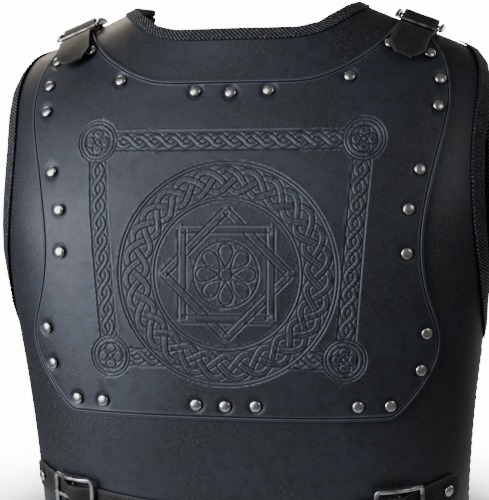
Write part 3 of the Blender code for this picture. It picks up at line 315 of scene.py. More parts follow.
def tapeMaterial(look):
    # Polyester grosgrain-weight twill tape: matt ribs at 45 degrees, with lighter yarns that catch the light.
    material, tree, shader = newMaterial("wovenTwillTape")
    along = addNode(tree, "UVMap", {"uv_map": "tape"})
    parts = addNode(tree, "SeparateXYZ", None, {"Vector": (along, "UV")})
    slant = addNode(tree, "Math", {"operation": "ADD"}, [(parts, 0), (parts, 1)])
    turns = addNode(tree, "Math", {"operation": "MULTIPLY"}, [
        (slant, 0), 2 * math.pi / (mm(look["twillMm"]) * math.sqrt(2))])
    ribs = addNode(tree, "Math", {"operation": "SINE"}, [(turns, 0)])
    steps = addNode(tree, "Math", {"operation": "MULTIPLY"}, [(parts, 0), 2 * math.pi / mm(look["yarnMm"])])
    yarns = addNode(tree, "Math", {"operation": "SINE"}, [(steps, 0)])
    weave = addNode(tree, "Math", {"operation": "MULTIPLY_ADD"}, [(yarns, 0), look["yarnShare"], (ribs, 0)])
    highest = 1 + look["yarnShare"]
    height = addNode(tree, "MapRange", None, [(weave, 0), -highest, highest])
    place = addNode(tree, "TexCoord")
    fluff = addNode(tree, "TexNoise", None, {"Vector": (place, "Object"), "Scale": 1 / mm(look["fluffMm"])})
    glints = addNode(tree, "Math", {"operation": "MULTIPLY"}, [(height, 0), (fluff, "Fac")])
    share = addNode(tree, "MapRange", None, [(glints, 0), *look["glintSpan"]])
    colour = addNode(tree, "Mix", {"data_type": "RGBA"}, {
        0: (share, 0), 6: hexColour(look["warp"]), 7: hexColour(look["weft"])})
    bump = addNode(tree, "Bump", None, {
        "Strength": look["bumpStrength"], "Distance": mm(look["ribDepthMm"]), "Height": (height, 0)})
    setInputs(tree, shader, {"Base Color": (colour, 2), "Normal": (bump, 0),
                             "Roughness": look["roughness"], "Specular IOR Level": look["sheen"]})
    return material


threadLook = {"yarn": "#2a2a2b", "ply": "#4a4a4a", "plyMm": 0.5, "roughness": 0.55}


def threadMaterial(look):
    # Bonded nylon sewing thread: tight plies with a dull sheen.
    material, tree, shader = newMaterial("bondedThread")
    place = addNode(tree, "TexCoord")
    plies = addNode(tree, "TexNoise", None, {"Vector": (place, "Object"), "Scale": 1 / mm(look["plyMm"])})
    colour = addNode(tree, "Mix", {"data_type": "RGBA"}, {
        0: (plies, "Fac"), 6: hexColour(look["yarn"]), 7: hexColour(look["ply"])})
    setInputs(tree, shader, {"Base Color": (colour, 2), "Roughness": look["roughness"]})
    return material


metalLook = {
    "bright": "#e6e4de", "dull": "#b9b7b0", "lowShadeColour": "#1f1e1d",
    "patchMm": 3.4, "patchDetail": 4.0, "patchSpan": (0.38, 0.62),
    "roughness": 0.19, "roughSpan": 0.16,
}

castLook = {**metalLook, "bright": "#cdccc8", "dull": "#6b6a68", "patchMm": 8.0, "roughness": 0.24}


def metalMaterial(name, look):
    # Antique nickel plate on pressed brass or cast zinc: bright on top, with painted shade low down by the
    # leather.
    material, tree, shader = newMaterial(name)
    place = addNode(tree, "TexCoord")
    patches = addNode(tree, "TexNoise", None, {
        "Vector": (place, "Object"), "Scale": 1 / mm(look["patchMm"]), "Detail": look["patchDetail"]})
    share = addNode(tree, "MapRange", None, [(patches, "Fac"), *look["patchSpan"]])
    plate = addNode(tree, "Mix", {"data_type": "RGBA"}, {
        0: (share, 0), 6: hexColour(look["bright"]), 7: hexColour(look["dull"])})
    # Painted shade: the plate darkens where it lies low, by the leather.
    lowShade = addNode(tree, "Attribute", {"attribute_name": "lowShade"})
    shadedPlate = addNode(tree, "Mix", {"data_type": "RGBA"}, {
        0: (lowShade, "Fac"), 6: (plate, 2), 7: hexColour(look["lowShadeColour"])})
    gloss = addNode(tree, "MapRange", None, [
        (patches, "Fac"), 0.0, 1.0, look["roughness"], look["roughness"] + look["roughSpan"]])
    setInputs(tree, shader, {"Base Color": (shadedPlate, 2), "Roughness": (gloss, 0), "Metallic": 1.0})
    return material


panelLeather = leatherMaterial("waxedPanelLeather", leatherLook)
chestLeather = leatherMaterial("waxedTooledLeather", chestLook)
strapLeather = leatherMaterial("waxedStrapLeather", strapLook)
tape = tapeMaterial(tapeLook)
thread = threadMaterial(threadLook)
capMetal = metalMaterial("antiqueNickelCap", metalLook)
buckleMetal = metalMaterial("antiqueNickelCasting", castLook)
print("materials made")


# The two shells

shellLook = {"edgeReach": mm(0.8), "edgeWearAndHighlight": 0.35, "levels": 2}


def shellPiece(name, nodeName, look):
    form = quadCopy(nodeName)
    crispEdges(form, look["edgeReach"], wearAndHighlight=look["edgeWearAndHighlight"])
    return finishPiece(name, form, panelLeather, [nodeName], look["levels"])


breast = shellPiece("breastShell", "breast_panel", shellLook)
back = shellPiece("backShell", "back_panel", shellLook)
print("shells made")


# Tooled design: a plaited ring round a rosette of two interlaced squares, inside a plaited frame
# with a roundel at each corner. It is worked out as strands, which pass over and under in turn.

toolingLook = {
    "middle": (0.0015, 0.2477), "sample": mm(0.35),
    "ringOuter": mm(88), "ringInner": mm(60.5), "rimLine": mm(2.6), "ringClear": mm(1.0),
    "braidWaves": 9, "braidStrand": mm(2.5), "braidClear": mm(1.2),
    "squareReach": mm(50), "squareStrand": mm(3.0), "squarePetals": 8, "squareRosette": mm(26),
    "frameTop": (0.108, 0.352), "frameFoot": (0.094, 0.181), "frameHalf": mm(7.0),
    "twist": mm(26), "frameStrand": mm(1.9), "frameClear": mm(1.1),
    "roundel": mm(16.5), "roundelRim": mm(2.4), "roundelClear": mm(0.8),
    "roundelPetals": 4, "roundelRosette": mm(10.64),
    # Petals and boss as shares of a rosette's reach, and how much of its room a petal fills.
    "petalFrom": 0.24, "petalTo": 0.93, "petalFull": 0.86, "boss": 0.2,
    # A groove's section in half widths of the line: how far it spreads, and its raised lips.
    "grooveHalf": mm(0.48), "grooveDepth": mm(1.1), "grooveSpread": 1.5, "grooveBend": 1.3,
    "lipHeight": mm(0.26), "lipAt": 2.3, "lipSpread": 0.9,
    # Rubbed wear and a painted highlight along each groove's lips.
    "lipWearAndHighlight": 0.45, "lipWearAndHighlightAt": 2.1, "lipWearAndHighlightSpread": 0.7,
    "cutGain": 1.1, "cutMost": 0.9,
    "groundDepth": mm(0.25), "groundDark": 0.55, "groundFade": mm(0.7),
}


def around(middle, radius, turn):
    return np.column_stack([middle[0] + radius * np.cos(turn), middle[1] + radius * np.sin(turn)])


def circlePath(middle, radius, count=240):
    return around(middle, radius, np.linspace(0, 2 * math.pi, count + 1))


def evenPath(points, step):
    lengths = lengthsAlong(points)
    wanted = np.linspace(0, lengths[-1], max(int(lengths[-1] / step), 2))
    return np.column_stack([np.interp(wanted, lengths, points[:, k]) for k in (0, 1)])


def pathSides(path):
    ahead = headings(path)
    return np.column_stack([-ahead[:, 1], ahead[:, 0]])


def crossingsOf(strands):
    # Every crossing as (strand, step, strand, step, place).
    found = []
    for a in range(len(strands)):
        for b in range(a, len(strands)):
            first, second = strands[a], strands[b]
            start, run = first[:-1], np.diff(first, axis=0)
            otherStart, otherRun = second[:-1], np.diff(second, axis=0)
            cross = run[:, None, 0] * otherRun[None, :, 1] - run[:, None, 1] * otherRun[None, :, 0]
            cross = np.where(np.abs(cross) < 1e-9, np.nan, cross)       # parallel runs never cross
            apart = otherStart[None] - start[:, None]
            s = (apart[..., 0] * otherRun[None, :, 1] - apart[..., 1] * otherRun[None, :, 0]) / cross
            t = (apart[..., 0] * run[:, None, 1] - apart[..., 1] * run[:, None, 0]) / cross
            hits = np.argwhere((s >= 0) & (s < 1) & (t >= 0) & (t < 1))
            for i, j in hits:
                # A strand doesn't cross itself where one step, or the loop's end, meets the next.
                if a != b or j > i + 2 and not (i < 2 and j > len(first) - 4):
                    found.append((a, int(i), b, int(j), start[i] + run[i] * s[i, j]))
    return found


def upperVisits(strands, crossings):
    # For each crossing, whether its first visit is the upper one, so that each strand goes over and
    # under in turn.
    visits = {k: [] for k in range(len(strands))}
    for number, (a, i, b, j, _) in enumerate(crossings):
        visits[a].append((i, number, 0))
        visits[b].append((j, number, 1))
    over = {}
    waiting = list(visits)
    while waiting:
        strand = next((k for k in waiting if any(number in over for _, number, _ in visits[k])), waiting[0])
        waiting.remove(strand)
        order = sorted(visits[strand])
        up = True
        for turn, (_, number, which) in enumerate(order):
            if number in over:
                up = (over[number] == (which == 0)) == (turn % 2 == 0)
                break
        for turn, (_, number, which) in enumerate(order):
            if number not in over:
                upper = up == (turn % 2 == 0)
                over[number] = upper == (which == 0)
    return over


def interlaced(strands, half, gap=mm(0.5), reaches=4):
    # Edge lines of strands that pass over and under one another, left out where they pass under.
    # Only what lies within some half widths, or reaches, of a crossing is compared there.
    crossings = crossingsOf(strands)
    over = upperVisits(strands, crossings)
    lines = []
    for k, path in enumerate(strands):
        across = pathSides(path)
        edges = [path + across * half * sign for sign in (1, -1)]
        hidden = [np.zeros(len(path), bool) for _ in edges]
        for number, (a, _, b, _, place) in enumerate(crossings):
            for own, other, isFirst in ((a, b, True), (b, a, False)):
                if own != k or over[number] == isFirst:
                    continue
                near = strands[other][np.linalg.norm(strands[other] - place, axis=1) < half * (reaches + 1)]
                for edge, under in zip(edges, hidden):
                    close = np.linalg.norm(edge - place, axis=1) < half * reaches
                    reach = np.linalg.norm(edge[close][:, None] - near[None], axis=2).min(1)
                    under[np.where(close)[0]] |= reach < half + gap
        lines += [edge[~under] for edge, under in zip(edges, hidden)]
    return lines


def toolingDesign(look):
    # The design's lines as points a small step apart, on the plane of x and height, and the strands'
    # middles with their half widths, between which the ground is stippled down.
    step = look["sample"]
    middle = look["middle"]
    lines = [evenPath(circlePath(middle, radius - inset), step)
             for radius in (look["ringOuter"], look["ringInner"]) for inset in (0.0, look["rimLine"])]
    centre = (look["ringOuter"] + look["ringInner"] - look["rimLine"]) / 2
    room = (look["ringOuter"] - look["ringInner"] - look["rimLine"]) / 2
    swing = room - look["braidStrand"] - look["braidClear"]
    turn = np.linspace(0, 2 * math.pi, 1800)
    braid = []
    for shift in range(3):
        wave = np.sin(look["braidWaves"] * turn + shift * 2 * math.pi / 3)
        braid.append(evenPath(around(middle, centre + swing * wave, turn), step))
    lines += interlaced(braid, look["braidStrand"])
    squares = [evenPath(around(middle, look["squareReach"], np.radians(turned + 90 * np.arange(5))), step)
               for turned in (0, 45)]
    lines += interlaced(squares, look["squareStrand"])
    lines += rosette(middle, look["squareRosette"], look["squarePetals"], look)
    drawn, twisted = frameLines(look)
    strands = {"braidStrand": braid, "squareStrand": squares, "frameStrand": twisted}
    return lines + drawn, strands


def rosette(middle, reach, petals, look):
    # Petals as arcs between the middle and a ring, round a small boss.
    step = look["sample"]
    lines = [evenPath(circlePath(middle, reach, 90), step),
             evenPath(circlePath(middle, reach * look["boss"], 40), step)]
    share = np.linspace(look["petalFrom"], look["petalTo"], 40)
    along = (share - look["petalFrom"]) / (look["petalTo"] - look["petalFrom"])
    bulge = math.pi / petals * look["petalFull"] * np.sqrt(np.clip(np.sin(along * math.pi), 0, 1))
    for k in range(petals):
        for sign in (1, -1):
            turn = 2 * math.pi * k / petals + sign * bulge
            lines.append(evenPath(around(middle, reach * share, turn), step))
    return lines


def frameLines(look):
    # The plaited frame. It passes behind the ring and ends at the roundels.
    step = look["sample"]
    middle = np.array(look["middle"])
    topX, topZ = look["frameTop"]
    footX, footZ = look["frameFoot"]
    corners = [np.array(corner) for corner in ((-topX, topZ), (topX, topZ), (footX, footZ), (-footX, footZ))]
    drawn, twisted = [], []
    for start, end in zip(corners, corners[1:] + corners[:1]):
        length = np.linalg.norm(end - start)
        run = (end - start) / length
        across = np.array([-run[1], run[0]])
        s = np.linspace(0, length, int(length / step))
        straight = start + run * s[:, None]
        drawn += [straight + across * look["frameHalf"] * sign for sign in (1, -1)]
        plait = length - 2 * look["roundel"]
        waves = max(round(plait / look["twist"]), 1)
        swing = look["frameHalf"] - look["frameStrand"] - look["frameClear"]
        wave = np.sin((s - look["roundel"]) / plait * 2 * math.pi * waves) * swing
        strands = [straight + across * wave[:, None] * sign for sign in (1, -1)]
        drawn += interlaced(strands, look["frameStrand"])
        twisted += strands
    kept = []
    for line in drawn:
        clear = np.linalg.norm(line - middle, axis=1) > look["ringOuter"] + look["ringClear"]
        for corner in corners:
            clear &= np.linalg.norm(line - corner, axis=1) > look["roundel"] + look["roundelClear"]
        kept.append(line[clear])
    for corner in corners:
        kept += [evenPath(circlePath(corner, look["roundel"] - inset, 90), step)
                 for inset in (0.0, look["roundelRim"])]
        kept += rosette(corner, look["roundelRosette"], look["roundelPetals"], look)
    return kept, twisted


def groundShare(look, place, strandTrees):
    # How far a place on the plane of x and height belongs to the stippled ground between strands.
    x, z = place
    away = math.hypot(x - look["middle"][0], z - look["middle"][1])
    fromStrand = {kind: tree.find((x, 0.0, z))[2] - look[kind] for kind, tree in strandTrees.items()}
    ringHole, ringEdge = look["ringInner"] - look["rimLine"], look["ringOuter"] - look["rimLine"]
    if away < ringHole:
        apart = min(fromStrand["squareStrand"], away - look["squareRosette"], ringHole - away)
    elif look["ringInner"] < away < ringEdge:
        apart = min(fromStrand["braidStrand"], away - look["ringInner"], ringEdge - away)
    elif away > look["ringOuter"]:
        (topX, topZ), (footX, footZ) = look["frameTop"], look["frameFoot"]
        share = (z - footZ) / (topZ - footZ)
        apart = fromStrand["frameStrand"]
        besideFrame = [math.inf]
        if 0 < share < 1:
            besideFrame.append(abs(abs(x) - footX - (topX - footX) * share))
        if abs(x) < topX:
            besideFrame.append(min(abs(z - topZ), abs(z - footZ)))
        toCorner = min(math.hypot(abs(x) - topX, z - topZ), math.hypot(abs(x) - footX, z - footZ))
        apart = min(apart, look["frameHalf"] - min(besideFrame), toCorner - look["roundel"])
    else:
        apart = 0.0
    return min(max(apart / look["groundFade"], 0.0), 1.0)


# The chest piece: fine mesh along the tooled lines, pressed in, with a dimple round each rivet

overlayLook = {
    "edgeReach": mm(0.8), "edgeWearAndHighlight": 0.9, "rimShare": 0.6, "rimClear": 1.4,
    "dimpleRadius": mm(8.2), "dimpleDepth": mm(0.9), "creaseInset": mm(2.6),
    # Faces are cut in four in turn within these distances of a line and of a cap.
    "rounds": ((mm(3.85), mm(13)), (mm(2.53), mm(10)), (mm(1.155), mm(8.3)), (mm(0.1375), 0.0)),
    "smoothLevels": 4, "baseLevels": 1,
}

# The rivet caps, which are made further on and round which the dimples lie.
capLook = {
    "radius": mm(4.75),
    # Profile from the foot in: share of the radius, height in mm.
    "profile": [(0.97, -1.0), (1.0, 0.2), (0.95, 0.95), (0.82, 1.45), (0.60, 1.85), (0.32, 2.08),
                (0.0, 2.15)],
    "steps": 24, "weld": mm(0.005), "sharpFrom": 60,
    "lowShade": (mm(0.45), mm(0.6), 0.9),       # painted shade at the foot: height, over, most
}


def subdivided(form, levels):
    # The form after Subdivision Surface, as a new bmesh.
    mesh = bpy.data.meshes.new("working")
    form.to_mesh(mesh)
    holder = newObject("working", mesh)
    smoothen(holder, levels)
    done = shownForm([holder])
    bpy.data.objects.remove(holder)
    bpy.data.meshes.remove(mesh)
    return done


def hump(away, middle, spread):
    return math.exp(-((away - middle) / spread) ** 2)


def chestPiece(look, tooling):
    form = quadCopy("chest_overlay")
    crispEdges(form, look["edgeReach"], wearAndHighlight=look["edgeWearAndHighlight"])
    smooth = subdivided(form, look["smoothLevels"])
    smoothTree = BVHTree.FromBMesh(smooth)
    crests = smooth.verts.layers.float["wearAndHighlight"]
    rimTree = pointTree([vertex.co.copy() for vertex in smooth.verts
                         if vertex[crests] > look["edgeWearAndHighlight"] * look["rimShare"]])
    smooth.free()
    fine = subdivided(form, look["baseLevels"])
    form.free()
    drawn, strands = toolingDesign(tooling)
    lines = np.concatenate([line for line in drawn if len(line)])
    lineTree = flatTree(lines)
    strandTrees = {kind: flatTree(np.concatenate(paths)) for kind, paths in strands.items()}
    caps = [seatOf(name)[0].translation for name in nodes if name.startswith("chest_rivet")]
    capTree = flatTree([(cap.x, cap.z) for cap in caps])
    print("tooled line points:", len(lines))

    def lineAway(place):
        crease = abs(rimTree.find(place)[2] - look["creaseInset"])
        return min(lineTree.find((place.x, 0.0, place.z))[2], crease)

    for reach, capReach in look["rounds"]:
        near = set()
        for face in fine.faces:
            middle = face.calc_center_median()
            if face.normal.y > 0 or rimTree.find(middle)[2] < look["edgeReach"] * look["rimClear"]:
                continue
            size = math.sqrt(face.calc_area())
            if (lineAway(middle) < reach + size / 2
                    or capTree.find((middle.x, 0.0, middle.z))[2] < capReach):
                near.update(face.edges)
        edges = [edge for edge in fine.edges if edge in near]
        bmesh.ops.subdivide_edges(fine, edges=edges, cuts=1, use_grid_fill=True)
    cutLayer = fine.verts.layers.float.new("cut")
    groundLayer = fine.verts.layers.float.new("ground")
    wearAndHighlightLayer = fine.verts.layers.float["wearAndHighlight"]
    half = tooling["grooveHalf"]
    for vertex in fine.verts:
        if vertex.normal.y > 0.1:       # the side that lies on the breast
            continue
        spot = smoothTree.find_nearest(vertex.co)[0]
        away = lineAway(vertex.co)
        groove = max(1 - away / (half * tooling["grooveSpread"]), 0.0)
        lip = hump(away, half * tooling["lipAt"], half * tooling["lipSpread"])
        move = tooling["lipHeight"] * lip - tooling["grooveDepth"] * groove ** tooling["grooveBend"]
        ground = groundShare(tooling, (vertex.co.x, vertex.co.z), strandTrees)
        move -= tooling["groundDepth"] * ground
        capAway = capTree.find((vertex.co.x, 0.0, vertex.co.z))[2]
        if capAway < look["dimpleRadius"]:
            share = max(capAway - capLook["radius"], 0.0) / (look["dimpleRadius"] - capLook["radius"])
            move -= look["dimpleDepth"] * (1 - share) ** 2 * (1 + 2 * share)
        vertex.co = spot + vertex.normal * move
        vertex[groundLayer] = tooling["groundDark"] * ground
        vertex[cutLayer] = min(groove * tooling["cutGain"], tooling["cutMost"])
        # The lips get rubbed wear and a painted highlight.
        vertex[wearAndHighlightLayer] += tooling["lipWearAndHighlight"] * hump(away, half * tooling["lipWearAndHighlightAt"],
                                                       half * tooling["lipWearAndHighlightSpread"])
    bmesh.ops.triangulate(fine, faces=fine.faces)
    print("chest piece triangles:", len(fine.faces))
    return finishPiece("chestPiece", fine, chestLeather, ["chest_overlay"])


chestPiece(overlayLook, toolingLook)
print("chest piece made")


# Tape bindings, with the line of stitches that holds them

bindingLook = {
    "foldReach": mm(0.4), "foldFrom": 40, "levels": 2, "offLeather": mm(1.6),
    "wall": mm(0.9), "wallSpare": mm(0.03), "core": (0, 0, 0.2), "wayStep": mm(1),
    # Which way each tape runs from end to end, so that the weave slants alike on all four.
    "toward": {"armhole_binding_left": (0, -1, 0), "armhole_binding_right": (0, 1, 0),
               "neck_binding_front": (1, 0, 0), "neck_binding_back": (-1, 0, 0)},
    "stitchLength": mm(2.6), "stitchGap": mm(1.4), "stitchWidth": mm(0.7), "stitchInset": mm(2.2),
    # A stitch from end to end: share of its length, height off the tape in thread widths.
    "stitchRise": ((0.0, -0.5), (0.15, 0.1), (0.5, 0.35), (0.85, 0.1), (1.0, -0.5)),
    "stitchMost": 1.3, "firstStep": 6, "lastSteps": 10, "probe": mm(10), "neckRise": mm(30),
}


def nodeTree(names):
    joined = bmesh.new()
    for name in names:
        joined.from_mesh(nodes[name].data)
    return BVHTree.FromBMesh(joined)


shellTree = nodeTree(["breast_panel", "back_panel"])


def middleOf(edge):
    return (edge.verts[0].co + edge.verts[1].co) / 2


def runOf(start, first, beside, bendMost=50):
    # Edges that follow one another from a start, as long as the way doesn't turn sharply.
    run = [start, first]
    while True:
        ahead = middleOf(run[-1]) - middleOf(run[-2])
        onward = [edge for edge in beside[run[-1]] if edge not in run
                  and (middleOf(edge) - middleOf(run[-1])).angle(ahead) < math.radians(bendMost)]
        if not onward:
            return run[1:]
        run.append(onward[0])


def freeEdge(nodeName, look):
    # The tape's free edge on the outer side of the shell, as places from one end of the tape to the
    # other. Both free edges are where the solid is just as thick as the tape.
    form = quadCopy(nodeName)
    form.edges.index_update()
    short = [edge for edge in form.edges if abs(edge.calc_length() - look["wall"]) < look["wallSpare"]]
    owners = {}
    for edge in short:
        for vertex in edge.verts:
            owners.setdefault(vertex, []).append(edge)
    beside = {}
    for edge in short:
        near = {vertex for end in edge.verts for link in end.link_edges for vertex in link.verts}
        others = {other for vertex in near for other in owners.get(vertex, []) if other is not edge}
        beside[edge] = sorted(others, key=lambda other: other.index)       # the same in each run
    seeds = [edge for edge in short
             if len(beside[edge]) == 2 and all(len(beside[near]) == 2 for near in beside[edge])]
    chains = []
    while seeds:
        before, after = (runOf(seeds[0], near, beside) for near in beside[seeds[0]])
        chains.append(before[::-1] + [seeds[0]] + after)
        seeds = [edge for edge in seeds if edge not in chains[-1]]
    core = Vector(look["core"])
    outer = max(chains, key=lambda chain: sum((middleOf(edge) - core).length for edge in chain) / len(chain))
    corners = [max((vertex.co for vertex in edge.verts), key=lambda place: (place - core).length)
               for edge in outer]
    places = np.array([tuple(corner) for corner in corners])
    form.free()
    forward = (places[-1] - places[0]) @ look["toward"][nodeName] > 0
    return places if forward else places[::-1]


def smoothWay(places, step):
    # Even steps along a smooth curve through places.
    lengths = lengthsAlong(places)
    slopes = np.gradient(places, lengths, axis=0)
    wanted = np.linspace(0, lengths[-1], int(lengths[-1] / step))
    k = np.clip(np.searchsorted(lengths, wanted, side="right") - 1, 0, len(places) - 2)
    span = (lengths[k + 1] - lengths[k])[:, None]
    s = (wanted - lengths[k])[:, None] / span
    return ((1 + 2 * s) * (1 - s) ** 2 * places[k] + s * (1 - s) ** 2 * span * slopes[k]
            + s * s * (3 - 2 * s) * places[k + 1] + s * s * (s - 1) * span * slopes[k + 1])


def bindingPiece(name, nodeName, look):
    # The tape, and what its stitches need: the way of its free edge, its directions and its surface.
    form = quadCopy(nodeName)
    crispEdges(form, look["foldReach"], look["foldFrom"])
    form = subdivided(form, look["levels"])
    for vertex in form.verts:           # the tape's ends lie down on the leather
        place, _, _, away = shellTree.find_nearest(vertex.co)
        if away > look["offLeather"]:
            vertex.co = place + (vertex.co - place) * look["offLeather"] / away
    way = smoothWay(freeEdge(nodeName, look), look["wayStep"])
    ahead = headings(way)
    tree = pointTree(way)
    layer = form.loops.layers.uv.new("tape")
    for vertex in form.verts:
        _, k, away = tree.find(vertex.co)
        along = (np.array(vertex.co) - way[k]) @ ahead[k]
        across = math.sqrt(max(away * away - along * along, 0.0))
        for loop in vertex.link_loops:
            loop[layer].uv = (k * look["wayStep"] + along, across)
    surface = BVHTree.FromBMesh(form)
    finishPiece(name, form, tape, [nodeName])
    return way, ahead, surface


def stitchRow(name, rows, look):
    # One mesh of short threads, each pressed in at its ends.
    curve = bpy.data.curves.new(name, "CURVE")
    curve.dimensions = "3D"
    curve.bevel_depth = look["stitchWidth"] / 2
    curve.bevel_resolution = 1
    curve.use_fill_caps = True
    for points in rows:
        spline = curve.splines.new("POLY")
        spline.points.add(len(points) - 1)
        for point, place in zip(spline.points, points):
            point.co = (*place, 1.0)
    holder = newObject(name, curve)
    form = shownForm([holder])
    bpy.data.objects.remove(holder)
    bmesh.ops.remove_doubles(form, verts=form.verts, dist=meshLook["threadWeld"])
    bmesh.ops.recalc_face_normals(form, faces=form.faces)
    return finishPiece(name, form, thread, [])


def tapeStitches(name, way, ahead, surface, opening, look):
    # Straight stitches a little in from the tape's free edge, on the side towards the opening.
    rows = []
    pitch = look["stitchLength"] + look["stitchGap"]
    for k in range(look["firstStep"], len(way) - look["lastSteps"]):
        if int(k * look["wayStep"] / pitch) == int((k - 1) * look["wayStep"] / pitch):
            continue
        place, along = Vector(way[k]), Vector(ahead[k])
        normal = shellTree.find_nearest(place)[1]
        over = normal.cross(along).normalized()
        if over.dot(Vector(opening) - place) < 0:
            over = -over
        points = []
        for share, rise in look["stitchRise"]:
            start = place + over * look["stitchInset"] + along * look["stitchLength"] * share
            spot = surface.ray_cast(start + normal * look["probe"], -normal, look["probe"] * 2)[0]
            if spot is not None:
                points.append(spot + normal * look["stitchWidth"] * rise)
        whole = len(points) == len(look["stitchRise"])
        if whole and (points[-1] - points[0]).length < look["stitchLength"] * look["stitchMost"]:
            rows.append(points)
    return stitchRow(name, rows, look)


def bindings(look):
    for side in sides:
        low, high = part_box("armhole_binding_" + side)
        opening = ((low.x + high.x) / 2, (low.y + high.y) / 2, (low.z + high.z) / 2)
        route = bindingPiece("armholeTape_" + side, "armhole_binding_" + side, look)
        tapeStitches("armholeStitches_" + side, *route, opening, look)
    low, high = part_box("neck_binding_front")
    opening = (0.0, 0.0, high.z + look["neckRise"])
    for facing in ("front", "back"):
        route = bindingPiece("neckTape_" + facing, "neck_binding_" + facing, look)
        tapeStitches("neckStitches_" + facing, *route, opening, look)


bindings(bindingLook)
print("bindings made")


# Rivet caps

def rivetCap(nodeName, look):
    form = bmesh.new()
    points = [form.verts.new((share * look["radius"], 0, mm(height))) for share, height in look["profile"]]
    edges = [form.edges.new(pair) for pair in zip(points, points[1:])]
    bmesh.ops.spin(form, geom=points + edges, cent=(0, 0, 0), axis=(0, 0, 1), dvec=(0, 0, 0),
                   angle=2 * math.pi, steps=look["steps"], use_merge=True, use_duplicate=False)
    bmesh.ops.remove_doubles(form, verts=form.verts, dist=look["weld"])
    bmesh.ops.holes_fill(form, edges=[edge for edge in form.edges if edge.is_boundary])
    bmesh.ops.recalc_face_normals(form, faces=form.faces)
    markLowShade(form, *look["lowShade"])
    bmesh.ops.transform(form, matrix=seatOf(nodeName)[0], verts=form.verts)
    finishPiece("cap_" + nodeName, form, capMetal, [nodeName], levels=1,
                sharpFrom=look["sharpFrom"])


for nodeName in nodes:
    if "rivet" in nodeName:
        rivetCap(nodeName, capLook)
print("rivet caps made")


# Buckles

buckleLook = {
    "bar": mm(4.0), "corner": mm(3.2), "edge": mm(2.2), "arch": mm(4.0),
    # Section of the frame: share of the half bar outward, share of the height.
    "section": [(-1.0, 0.05), (-0.86, 0.0), (0.86, 0.0), (1.0, 0.08), (1.0, 0.62), (0.80, 0.88), (0.45, 1.0),
                (-0.45, 1.0), (-0.80, 0.88), (-1.0, 0.62)],
    "cornerSteps": 5, "sideSteps": 10, "sharpFrom": 50,
    "barRadius": mm(1.5), "barLift": 1.15, "barSegments": 20,
    "lowShade": (mm(1.2), mm(1.4), 0.75),       # painted shade at the foot: height, over, most
    "tongueReach": mm(0.35),
}


def buckleLoop(halfLength, halfWidth, look):
    # Places round the frame's middle line, with the direction that points outward.
    corner = look["corner"]
    middles = [(a * (halfLength - corner), b * (halfWidth - corner))
               for a, b in ((1, 1), (-1, 1), (-1, -1), (1, -1))]
    loop = []
    for k, (middle, following) in enumerate(zip(middles, middles[1:] + middles[:1])):
        for turn in np.radians(90 * k + np.linspace(0, 90, look["cornerSteps"])):
            loop.append((middle[0] + corner * math.cos(turn), middle[1] + corner * math.sin(turn), turn))
        along, across, turn = loop[-1]
        for share in np.arange(1, look["sideSteps"]) / look["sideSteps"]:
            loop.append((along + (following[0] - middle[0]) * share,
                         across + (following[1] - middle[1]) * share, turn))
    return loop


def bucklePiece(name, nodeName, ahead, look):
    matrix, spans = seatOf(nodeName, ahead)
    half = look["bar"] / 2
    halfLength, halfWidth = spans[0] / 2 - half, spans[1] / 2 - half
    form = bmesh.new()
    rings = []
    for along, across, turn in buckleLoop(halfLength, halfWidth, look):
        height = look["edge"] + look["arch"] * max(1 - (along / halfLength) ** 2, 0.0)
        ring = [form.verts.new((along + math.cos(turn) * half * out, across + math.sin(turn) * half * out,
                                height * up)) for out, up in look["section"]]
        rings.append([form.edges.new((ring[k], ring[k - 1])) for k in range(len(ring))])
    for k in range(len(rings)):
        bmesh.ops.bridge_loops(form, edges=rings[k] + rings[k - 1])
    bmesh.ops.recalc_face_normals(form, faces=form.faces)
    radius = look["barRadius"]
    lift = Matrix.Translation((0, 0, radius * look["barLift"]))
    bmesh.ops.create_cone(form, cap_ends=True, segments=look["barSegments"], radius1=radius, radius2=radius,
                          depth=2 * halfWidth, matrix=lift @ Matrix.Rotation(math.pi / 2, 4, "X"))
    markLowShade(form, *look["lowShade"])
    bmesh.ops.transform(form, matrix=matrix, verts=form.verts)
    finishPiece(name, form, buckleMetal, [nodeName], levels=1, sharpFrom=look["sharpFrom"])


def tonguePiece(name, nodeName, look):
    form = quadCopy(nodeName)
    crispEdges(form, look["tongueReach"])
    finishPiece(name, form, buckleMetal, [nodeName], levels=1)


for side, toward in zip(sides, (-1, 1)):
    for place, ahead in (("shoulder", Vector((0, -1, 0))), ("waist", Vector((toward, 0, 0)))):
        bucklePiece(f"{place}Buckle_{side}", f"{place}_buckle_{side}", ahead, buckleLook)
        tonguePiece(f"{place}Tongue_{side}", f"{place}_tongue_{side}", buckleLook)
print("buckles made")


# Straps

strapPieceLook = {"edgeReach": mm(0.9), "edgeWearAndHighlight": 1.0, "wearAndHighlightBeside": 0.35, "sharpFrom": 26, "levels": 2}


def strapPiece(name, nodeName, look):
    form = quadCopy(nodeName)
    crispEdges(form, look["edgeReach"], look["sharpFrom"], look["edgeWearAndHighlight"], look["wearAndHighlightBeside"])
    finishPiece(name, form, strapLeather, [nodeName], look["levels"])


for side in sides:
    for place, nodeName in (("shoulderStrap", "shoulder_strap"), ("shoulderChape", "shoulder_chape"),
                            ("waistTab", "waist_tab")):
        strapPiece(f"{place}_{side}", f"{nodeName}_{side}", strapPieceLook)
strapPiece("waistStrap", "waist_strap", strapPieceLook)
print("straps made")


# Side seams: the two shells meet edge to edge and are laced with crossed stitches

